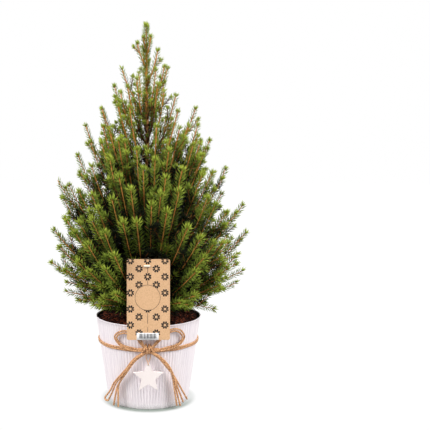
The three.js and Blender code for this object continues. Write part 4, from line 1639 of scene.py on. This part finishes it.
@dataclass
class Twine:
    """Jute twine: the band round the planter, the bow on its front and the fuzz on both.

    The stops of the bow are x, height and stand-off from the wall in millimetres, as the solid has them, for
    the left side and then the right, with x counted outwards. A loop is given by its farthest x and its top,
    and a turn of the knot by its x, its lean and half its height in metres.
    """

    planter: Planter
    height: float = 0.107
    strand: float = 0.00170
    lay: float = 0.0085
    plies: int = 3
    sides: int = 12
    knot_height: float = 0.111
    knot_front: float = 0.0048
    loops: tuple[tuple[float, float], ...] = ((56, 139), (60, 142))
    bundles: tuple[Stops, ...] = (
        [(3, 107, 9), (23, 92, 9), (38, 71, 11), (54, 46, 13)],
        [(3, 107, 9), (19, 96, 9), (34, 78, 11), (43, 60, 13)],
    )
    cut_ends: tuple[Stops, ...] = (
        [(76, 16.5, 21), (70, 12.5, 20), (60, 6.5, 18), (52, 5, 16)],
        [(67, 16.5, 20), (60, 12.5, 18), (55, 6.5, 17), (49, 7.5, 15)],
    )
    wraps: tuple[tuple[float, float, float], ...] = (
        (-0.0074, 0.55, 0.0050), (-0.0026, -0.32, 0.0076), (0.0014, -0.10, 0.0070), (0.0064, -0.60, 0.0052),
    )
    fibre: tuple[float, float, float] = (0.00008, 0.00006, 0.00002)
    paths: list[tuple[Array, float]] = field(default_factory=list)

    def add_strand(self, stock: Stock, path: Array, radius: float) -> None:
        """Adds a strand whose plies twist round each other along a path.

        Args:
            stock: What to add it to.
            path: Evenly spaced points along its middle.
            radius: Its radius.
        """
        angle = np.arange(self.sides)[None, :] * TAU / self.sides
        phase = self.plies * (angle + distances_along(path)[:, None] * TAU / self.lay)
        self.paths.append((path, radius))
        stock.add(*tube(path, radius * (0.82 + 0.29 * np.cos(phase)), self.sides))

    def on_front(self, side: int, stop: tuple[float, float, float]) -> Array:
        """A point in front of the planter's wall.

        Args:
            side: -1 on the left and 1 on the right.
            stop: Its x outwards, its height and its stand-off, in millimetres.

        Returns:
            The point.
        """
        x, height, standoff = (value / 1000 for value in (side * stop[0], *stop[1:]))
        radius = self.planter.radius(height) + standoff
        return np.array([x, -math.sqrt(radius**2 - x**2), height])

    def build_band(self, jute: Material) -> None:
        """Makes the two strands that run round the planter.

        Args:
            jute: Their material.
        """
        stock = Stock()
        turn = np.linspace(0, TAU, 420)[:, None]
        for number, rise in enumerate((-0.96 * self.strand, 0.96 * self.strand)):
            wave = 0.0003 * np.sin(5 * turn + number) + 0.0002 * np.sin(13 * turn)
            height = self.height + rise + wave
            radius = self.planter.radius(height) + 0.0002 + self.strand
            path = np.hstack([radius * np.cos(turn - FRONT), radius * np.sin(turn - FRONT), height])
            self.add_strand(stock, path, self.strand)
        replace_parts(stock.build("twine_band_strands", Slot.TWINE, jute), "twine_band")

    def add_loop(self, stock: Stock, side: int) -> None:
        """Adds one side of the bow: two strands, one outside the other.

        Args:
            stock: What to add it to.
            side: -1 on the left and 1 on the right.
        """
        out, top = self.loops[side > 0]
        stops = [
            (2, 111, 9), (16, 109, 8), (34, 111, 7.5), (out - 8, 116, 7), (out, 127, 7),
            (out - 7, top - 3, 7), (out - 20, top, 7.5), (out - 36, 133, 8), (8, 116, 9), (2, 112, 9),
        ]
        middle = smooth_path([self.on_front(side, stop) for stop in stops], 0.0011)
        inward = unit(middle.mean(axis=0) - middle)
        for way in (-1, 1):
            wander = 0.0003 * np.sin(np.linspace(0, 9, len(middle)) + way)[:, None]
            self.add_strand(stock, middle + inward * (way * 1.2 * self.strand + wander), self.strand)

    def add_tail(self, stock: Stock, side: int) -> None:
        """Adds one tail: four strands that part towards their cut ends. Two of the left one's are one fold.

        Args:
            stock: What to add it to.
            side: -1 on the left and 1 on the right.
        """
        *bundle, parted = (self.on_front(side, stop) for stop in self.bundles[side > 0])
        ends = self.cut_ends[side > 0]
        tips = [self.on_front(side, end) for end in ends]
        mean_tip = self.on_front(side, tuple(np.mean(ends, axis=0)))
        spots = ((-1, -0.5), (-0.2, 1), (1, 0.5), (0.3, -1))
        for (across, out), tip in zip(spots, tips):
            shift = 1.15 * self.strand * np.array([across, -0.8 * out, 0.7 * side * across])
            aside = tip - mean_tip
            stops = [stop + shift * part for stop, part in zip(bundle, (0.6, 0.75, 0.9))]
            stops.append(parted + 0.24 * aside + 0.6 * shift)
            stops.append(parted + 0.5 * (tip - parted) + 0.08 * aside + np.array([0, -0.001, 0]))
            stops.append(tip)
            self.add_strand(stock, smooth_path(stops, 0.0012), self.strand)
        if side < 0:
            bend = 0.5 * (tips[0] + tips[1]) + np.array([-0.001, 0, -0.0018])
            self.add_strand(stock, smooth_path([tips[0], bend, tips[1]], 0.0008), self.strand)

    def add_knot(self, stock: Stock, centre: Array) -> None:
        """Adds the turns that bind the bow, and the strands that cross under them.

        Args:
            stock: What to add them to.
            centre: The middle of the knot.
        """
        turn = np.linspace(0, TAU, 48)[:, None]
        for x, lean, high in self.wraps:
            across = x + lean * 0.005 * np.sin(turn)
            path = np.hstack([across, -0.0044 * np.cos(turn), high * np.sin(turn)]) + centre
            self.add_strand(stock, path, self.strand)
        for side in (-1, 1):
            for rise, out in ((-0.0018, 0.0014), (0.0018, -0.0004)):
                stops = np.array([
                    [-side * 0.006, 0.001, rise],
                    [0, -out, rise + 0.0012],
                    [side * 0.009, 0.0008, -0.0012 + rise],
                    [side * 0.018, 0.0022, -0.002 + rise],
                ])
                self.add_strand(stock, smooth_path(centre + stops, 0.0011), self.strand)

    def build_bow(self, jute: Material) -> None:
        """Makes the bow: loops, tails and knot in one piece.

        Args:
            jute: Its material.
        """
        stock = Stock()
        front = self.planter.radius(self.height) + 1.8 * self.strand + self.knot_front
        for side in (-1, 1):
            self.add_loop(stock, side)
            self.add_tail(stock, side)
        self.add_knot(stock, np.array([0, -front, self.knot_height]))
        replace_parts(stock.build("bow_strands", Slot.TWINE, jute), "twine_bow")

    def build_fuzz(self, jute: Material) -> None:
        """Makes the fine fibres that stand off the twine.

        Args:
            jute: Their material.
        """
        random = np.random.RandomState(77)
        stock = Stock()
        for path, radius in self.paths:
            for _ in range(max(2, round(len(path) / 9))):
                node = random.randint(1, len(path) - 1)
                out = unit(random.normal(size=3) + np.array([0, -0.3, 0]))
                start = path[node] + out * radius * 0.7
                drift = unit(path[node] - path[node - 1]) * random.uniform(-1, 1)
                end = start + unit(out + drift) * random.uniform(0.001, 0.0032)
                line = np.array([start, 0.5 * (start + end) + 0.0003 * drift, end])
                stock.add(*tube(line, np.array(self.fibre), 3))
        stock.build("twine_fuzz", Slot.TWINE, jute)


@dataclass
class StarTag:
    """The wooden star and the thread that it hangs on."""

    plane: float
    top: float
    hole_drop: float = 0.0065
    hole_room: float = 0.0025
    thickness: float = 0.0036
    bevel: float = 0.0005
    blunt: float = 0.0032
    knot_under: float = 0.1042
    thread: float = 0.00062

    def hole(self) -> Vector:
        """The middle of the hole."""
        return Vector((0, self.plane, self.top - self.hole_drop))

    def build(self, wood: Material) -> None:
        """Makes the star from its solid, with its top cut blunt and its sawn edges eased.

        Args:
            wood: Its material.
        """
        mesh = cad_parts["wooden_star"].data.copy()
        mesh.name = "star_board"
        form = bmesh.new()
        form.from_mesh(mesh)
        bmesh.ops.remove_doubles(form, verts=form.verts, dist=1e-6)
        everything = [*form.verts, *form.edges, *form.faces]
        tip = Vector((0, 0, self.top - self.blunt))
        up = Vector((0, 0, 1))
        cut = bmesh.ops.bisect_plane(form, geom=everything, plane_co=tip, plane_no=up, clear_outer=True)
        rim = [item for item in cut["geom_cut"] if isinstance(item, bmesh.types.BMEdge)]
        bmesh.ops.contextual_create(form, geom=rim)
        bmesh.ops.dissolve_limit(form, angle_limit=math.radians(2), verts=form.verts, edges=form.edges)
        sharp = [edge for edge in form.edges if edge.calc_face_angle(0) > math.radians(35)]
        outline = [
            edge for edge in sharp if min((v.co - self.hole()).length for v in edge.verts) > self.hole_room
        ]
        bmesh.ops.bevel(form, geom=outline, offset=self.bevel, segments=2, profile=0.6, affect="EDGES")
        form.to_mesh(mesh)
        form.free()
        star = settle(bpy.data.objects.new("star_board", mesh), Slot.WOOD, wood)
        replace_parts(star, "wooden_star")

    def build_thread(self, twine: Twine, jute: Material) -> None:
        """Makes the looped thread, from under the knot through the star and back.

        Args:
            twine: The twine that it is spun like.
            jute: Its material.
        """
        clear = self.thickness / 2 + self.thread + 0.0004
        hole = np.array(self.hole())
        front = [
            [-0.0026, self.plane - 0.001, self.knot_under],
            [-0.004, self.plane - 0.0015, self.knot_under - 0.006],
            [-0.0016, self.plane - clear, self.top],
            [0, self.plane - clear + 0.0006, hole[2] + 0.0008],
        ]
        back = [[-x, 2 * self.plane - y, z] for x, y, z in reversed(front)]
        stock = Stock()
        twine.add_strand(stock, smooth_path(np.array([*front, hole, *back]), 0.0006), self.thread)
        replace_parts(stock.build("thread_loop", Slot.TWINE, jute), "star_thread")


# The label.


@dataclass
class CardLabel:
    """The kraft card with its printed star pattern, its sticker and its tie.

    A petal's points are given outwards and aside from the star's middle, for a star that reaches out by 1.
    """

    front: float
    bottom: float
    top: float
    thickness: float = 0.0007
    middle: float = -0.0012
    motif: float = 0.0062
    first_row: float = 0.0025
    row_pitch: float = 0.01345
    rows: int = 10
    column: float = 0.0144
    ring_height: float = 0.2007
    ring_radius: float = 0.0214
    ring_sides: int = 72
    line: float = 0.0006
    ink_rise: float = 0.00008
    sticker: tuple[float, float] = (0.0368, 0.0117)
    sticker_rise: float = 0.0002
    first_bar: float = -0.0142
    bar_step: float = 0.00185
    bars: tuple[float, float, float] = (0.0009, 0.0014, 0.0011)
    bar_count: int = 16
    bar_rise: float = 0.00026
    petal: tuple[tuple[float, float], ...] = (
        (0.34, -0.11), (0.60, -0.22), (0.97, -0.22), (1.06, 0), (0.97, 0.22), (0.60, 0.22), (0.34, 0.11),
    )
    tie_bar: float = 0.0058
    tie_shift: tuple[float, float] = (-0.0024, 0.0006)
    tie_radius: float = 0.0018
    tie_ring: float = 0.0028

    @property
    def face(self) -> float:
        """The y of the card's front face."""
        return self.front - self.thickness / 2

    def add_flat(self, stock: Stock, outline: Array | list[list[float]], rise: float) -> None:
        """Adds a thin closed plate on the card's front.

        Args:
            stock: What to add it to.
            outline: Its [x, z] corners, counted anticlockwise from the front.
            rise: How far it stands off the card.
        """
        x, z = np.asarray(outline, float).T
        count = len(x)
        front = np.stack([x, np.full(count, self.face - rise), z], axis=1)
        back = np.stack([x, np.full(count, self.face + 0.00002), z], axis=1)
        first = np.arange(count)
        after = (first + 1) % count
        edge = np.stack([first + count, after + count, after, first], axis=1)
        fan = np.stack([np.zeros(count - 2, int), np.arange(1, count - 1), np.arange(2, count)], axis=1)
        stock.add(np.vstack([front, back]), edge, np.vstack([fan, fan[:, ::-1] + count]))

    def add_bar(self, stock: Stock, across: Span, up: Span, rise: float) -> None:
        """Adds an upright rectangle between two x and two heights, as a plate with a rise off the card."""
        (x0, x1), (z0, z1) = across, up
        self.add_flat(stock, [[x0, z0], [x1, z0], [x1, z1], [x0, z1]], rise)

    def row_height(self, row: int) -> float:
        """The height of a row of stars, counted from the top."""
        return self.top - self.first_row - row * self.row_pitch

    def petals(self, x: float, z: float) -> list[Array]:
        """The eight petals of one star, cut off where they meet the ring or the card's edge.

        Args:
            x: The star's place across the card.
            z: Its height.

        Returns:
            The outlines of those that aren't cut off altogether.
        """
        made = []
        centre = np.array([self.middle, self.ring_height])
        for i in range(8):
            angle = math.radians(22.5 + 45 * i)
            along = np.array([math.cos(angle), math.sin(angle)])
            aside = np.array([-along[1], along[0]])
            ring = np.array([far * along + wide * aside for far, wide in self.petal])
            shape = np.array([self.middle + x, z]) + self.motif * ring
            from_ring = np.linalg.norm(shape - centre, axis=1)
            if from_ring.max() > self.ring_radius + 0.0005 and shape[:, 1].min() < self.top - 0.0008:
                cut = np.maximum(from_ring, self.ring_radius) / from_ring
                shape = centre + (shape - centre) * cut[:, None]
                shape[:, 1] = np.minimum(shape[:, 1], self.top - 0.0003)
                made.append(shape)
        return made

    def stars(self) -> list[tuple[float, float]]:
        """Where the stars go: three and two to a row by turns, with a gap for the ring.

        Returns:
            The x and z of each.
        """
        places = [
            (row, column) for row in range(self.rows) if row != 5
            for column in ((-1, 1) if row % 2 else (-2, 0, 2)) if column or row not in (4, 8)
        ]
        return [(column * self.column, self.row_height(row)) for row, column in places]

    def build_print(self, ink: Material) -> None:
        """Makes the printed pattern, ring and lines as one thin layer of ink.

        Args:
            ink: The ink.
        """
        stock = Stock()
        for x, z in self.stars():
            for petal in self.petals(x, z):
                self.add_flat(stock, petal, self.ink_rise)
        turn = np.linspace(0, TAU, self.ring_sides + 1)
        outer = self.ring_radius
        inner = self.ring_radius - self.line
        for a, b in zip(turn, turn[1:]):
            arc = [
                [self.middle + radius * math.cos(angle), self.ring_height + radius * math.sin(angle)]
                for radius, angle in ((outer, a), (outer, b), (inner, b), (inner, a))
            ]
            self.add_flat(stock, arc, self.ink_rise)
        across = (self.middle - self.line / 2, self.middle + self.line / 2)
        spans = (
            (self.row_height(2) + self.motif, self.top - 0.0150),
            (self.ring_height + self.ring_radius, self.row_height(2) - self.motif),
            (self.row_height(8) + 0.002, self.row_height(6) - self.motif),
            (self.bottom + self.sticker[1] + 0.001, self.row_height(8) - 0.004),
        )
        for span in spans:
            self.add_bar(stock, across, span, self.ink_rise)
        stock.build("label_print", Slot.CARD, ink)

    def build_sticker(self, paper: Material, ink: Material) -> None:
        """Makes the white sticker with its plain bars.

        Args:
            paper: The sticker's material.
            ink: The bars' material.
        """
        width, height = self.sticker
        low = self.bottom
        plate = Stock()
        across = (self.middle - width / 2, self.middle + width / 2)
        self.add_bar(plate, across, (low, low + height), self.sticker_rise)
        plate.build("label_sticker", Slot.CARD, paper)
        bars = Stock()
        for i in range(self.bar_count):
            x = self.middle + self.first_bar + i * self.bar_step
            across = (x, x + self.bars[i % 3])
            self.add_bar(bars, across, (low + 0.0024, low + height - 0.0011), self.bar_rise)
        bars.build("label_bars", Slot.CARD, ink)

    def build_tie(self, plastic: Material, hole: Array, hanging: Array, tangent: Array) -> None:
        """Makes the white tie: a bar across the hole, a filament and the ring on the limb behind.

        Args:
            plastic: Its material.
            hole: The middle of the card's hole.
            hanging: The point on the limb's middle that the ring goes round.
            tangent: The limb's direction there.
        """
        bar_y = self.face - 0.0016
        aside, higher = self.tie_shift
        x = np.linspace(-self.tie_bar, self.tie_bar, 13)
        bar = np.stack([x + aside, np.full(13, bar_y), np.full(13, hole[2] + higher)], axis=1)
        rounded = self.tie_radius * np.sqrt(np.clip(1 - (np.abs(x) / 0.0059) ** 6, 0.05, 1))
        stock = Stock()
        stock.add(*tube(bar, rounded, 14))
        spoke = hole - hanging
        spoke = unit(spoke - tangent * spoke.dot(tangent))
        turn = np.linspace(0, TAU, 33)[:, None]
        ring = hanging + self.tie_ring * (np.cos(turn) * spoke + np.sin(turn) * np.cross(tangent, spoke))
        stock.add(*even_tube(ring, 0.0006, 8, tangent))
        stops = [[0, bar_y, hole[2]], [0, self.front + 0.003, hole[2]], hanging + self.tie_ring * spoke]
        stock.add(*even_tube(smooth_path(stops, 0.001), 0.0003, 8))
        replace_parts(stock.build("tie_loop", Slot.PLASTIC, plastic), "label_tie")


# Stage, light and camera.


@dataclass
class Studio:
    """A plain pale floor, soft light and a camera at the photograph's angle.

    The floor and the surroundings look white, and light the object more softly than that.
    """

    distance: float = 1.2608
    eye: float = 0.4217
    lens: float = 58.07
    pitch: float = math.radians(1)
    shift: tuple[float, float] = (0.1549, -0.0880)
    dome: float = 0.55
    bounce: float = 0.45
    floor_glow: float = 1.02
    floor_edge: float = 14.0
    # The painted contact shadow on the floor: where it fades, how deep it is at the sides and in front, and
    # its colour.
    painted_shadow_fade: tuple[float, float] = (0.077, 0.0905)
    painted_shadow_depth: tuple[float, float] = (0.30, 1.00)
    painted_shadow_front: float = 0.07
    painted_shadow_tint: Colour = (0.27, 0.31, 0.28)

    def build(self) -> None:
        """Makes the stage, the lights and the camera."""
        self.make_floor()
        self.make_light("key", (-1.7, -1.3, 1.5), 1.1, 45)
        self.make_light("fill", (1.7, -1.2, 1.4), 1.1, 41)
        self.make_light("sky", (0.0, 0.6, 3.2), 7.0, 130)
        self.make_world()
        camera = bpy.data.cameras.new("camera")
        camera.lens = self.lens
        camera.sensor_width = 36
        camera.shift_x, camera.shift_y = self.shift
        camera.clip_start = 0.05
        seat = bpy.data.objects.new("camera", camera)
        seat.location = (0, -self.distance, self.eye)
        seat.rotation_euler = (math.pi / 2 - self.pitch, 0, 0)
        bpy.context.scene.collection.objects.link(seat)
        bpy.context.scene.camera = seat

    def make_world(self) -> None:
        """Makes the surroundings."""
        world = bpy.data.worlds.new("studio")
        world.use_nodes = True
        wiring = Wiring(world.node_tree)
        strength = wiring.seen_or_lit(self.dome, 1)
        wiring.feed(world.node_tree.nodes["Background"], Color=WHITE, Strength=strength)
        bpy.context.scene.world = world
        bpy.context.scene.view_settings.view_transform = "Standard"

    def make_floor(self) -> None:
        """Makes the floor. Close round the planter's foot, and most of all before it, it glows less and shows
        a dark grey-green colour: a painted contact shadow.
        """
        edge = self.floor_edge
        corners = [(-edge, -edge, 0), (edge, -edge, 0), (edge, edge, 0), (-edge, edge, 0)]
        mesh = bpy.data.meshes.new("floor")
        mesh.from_pydata(corners, [], [[0, 1, 2, 3]])
        floor = bpy.data.objects.new("floor", mesh)
        material, wiring, shader = new_material("pale floor")
        place = wiring.place()
        # Painted contact shadow: round the foot the floor glows less and turns grey-green, deepest in front.
        front = wiring.ramp(wiring.times(wiring.parts(place)["Y"], -1.0), 0.0, self.painted_shadow_front)
        side_depth, front_depth = self.painted_shadow_depth
        depth = wiring.math("ADD", side_depth, wiring.times(front, front_depth - side_depth))
        near = wiring.math("SUBTRACT", 1.0, wiring.ramp(wiring.length(place), *self.painted_shadow_fade))
        glow = wiring.math("SUBTRACT", 1.0, wiring.times(near, depth))
        colour = wiring.mix(glow, (*self.painted_shadow_tint, 1.0), BLACK)
        strength = wiring.times(glow, wiring.seen_or_lit(self.bounce, self.floor_glow))
        wiring.feed(shader, Base_Color=colour, Roughness=0.7, Specular_IOR_Level=0.0)
        wiring.feed(shader, Emission_Color=WHITE, Emission_Strength=strength)
        mesh.materials.append(material)
        bpy.context.scene.collection.objects.link(floor)

    def make_light(self, name: str, place: tuple[float, float, float], size: float, power: float) -> None:
        """Makes a soft square light that faces the crown.

        Args:
            name: Its name.
            place: Where it hangs.
            size: The length of its sides.
            power: Its strength in watts.
        """
        light = bpy.data.lights.new(name, "AREA")
        light.size = size
        light.energy = power
        holder = bpy.data.objects.new(name, light)
        holder.location = place
        aim = Vector((0, 0, 0.3)) - Vector(place)
        holder.rotation_euler = aim.to_track_quat("-Z", "Y").to_euler()
        bpy.context.scene.collection.objects.link(holder)


def main() -> None:
    """Builds the studio, the planter, the plant, the twine, the star and the label."""
    logging.basicConfig(level=logging.INFO, format="%(name)s: %(message)s")
    mottle = mottle_group()
    Studio().build()

    planter = Planter()
    planter.build(ZINC.material(mottle))
    planter.build_inside(SOIL_STAIN_AND_SHADE.material(mottle))
    planter.build_mulch(MULCH.material(mottle), BARK_CHIP.material(mottle))

    low, high = (np.array(corner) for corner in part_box("label_card"))
    label = CardLabel(front=float(0.5 * (low[1] + high[1])), bottom=float(low[2]), top=float(high[2]))
    trunk = Trunk(foot=float(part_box("trunk")[0].z))
    plan = CrownPlan(trunk)
    hole = np.array([0, label.front, high[2] - 0.012])
    limb = plan.bough(plan.label_bough)
    nearest = int(np.argmin(np.linalg.norm(limb.line - hole, axis=1)))
    hanging = limb.line[nearest]
    keep_out = KeepOut(
        plan, planter.soil_edge + planter.soil_crown, planter.height, float(high[0]), label.front, label.top,
        (hole, hanging),
    )
    trunk_bark = TRUNK_BARK.material(mottle)
    trunk.build(trunk_bark, YOUNG_BARK.material(mottle))
    crown = Crown(plan, keep_out)
    crown.grow()
    limb_nodes = [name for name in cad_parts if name.startswith("bough_")]
    mass_nodes = [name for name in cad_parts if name.startswith("foliage_")]
    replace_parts(crown.build_boughs(trunk_bark), *sorted(limb_nodes))
    crown.build_twigs(SHOOT_BARK.material(mottle), SHADED_SHOOT_BARK.material(mottle))
    needles = crown.build_needles({kind: kind.finish.material(mottle) for kind in NeedleKind})
    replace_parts(needles[0], *sorted(mass_nodes))

    jute = JUTE.material(mottle)
    twine = Twine(planter)
    twine.build_band(jute)
    twine.build_bow(jute)
    star_low, star_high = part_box("wooden_star")
    star = StarTag(plane=float(0.5 * (star_low.y + star_high.y)), top=float(star_high.z))
    star.build(PAINTED_WOOD.material(mottle))
    star.build_thread(twine, jute)
    twine.build_fuzz(jute)

    ink = INK.material(mottle)
    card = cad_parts["label_card"]
    card.data.materials.clear()
    card.data.materials.append(KRAFT.material(mottle))
    label.build_print(ink)
    label.build_sticker(PAPER.material(mottle), ink)
    label.build_tie(PLASTIC.material(mottle), hole, hanging, tangents_of(limb.line)[nearest])


if __name__ == "__main__":
    main()
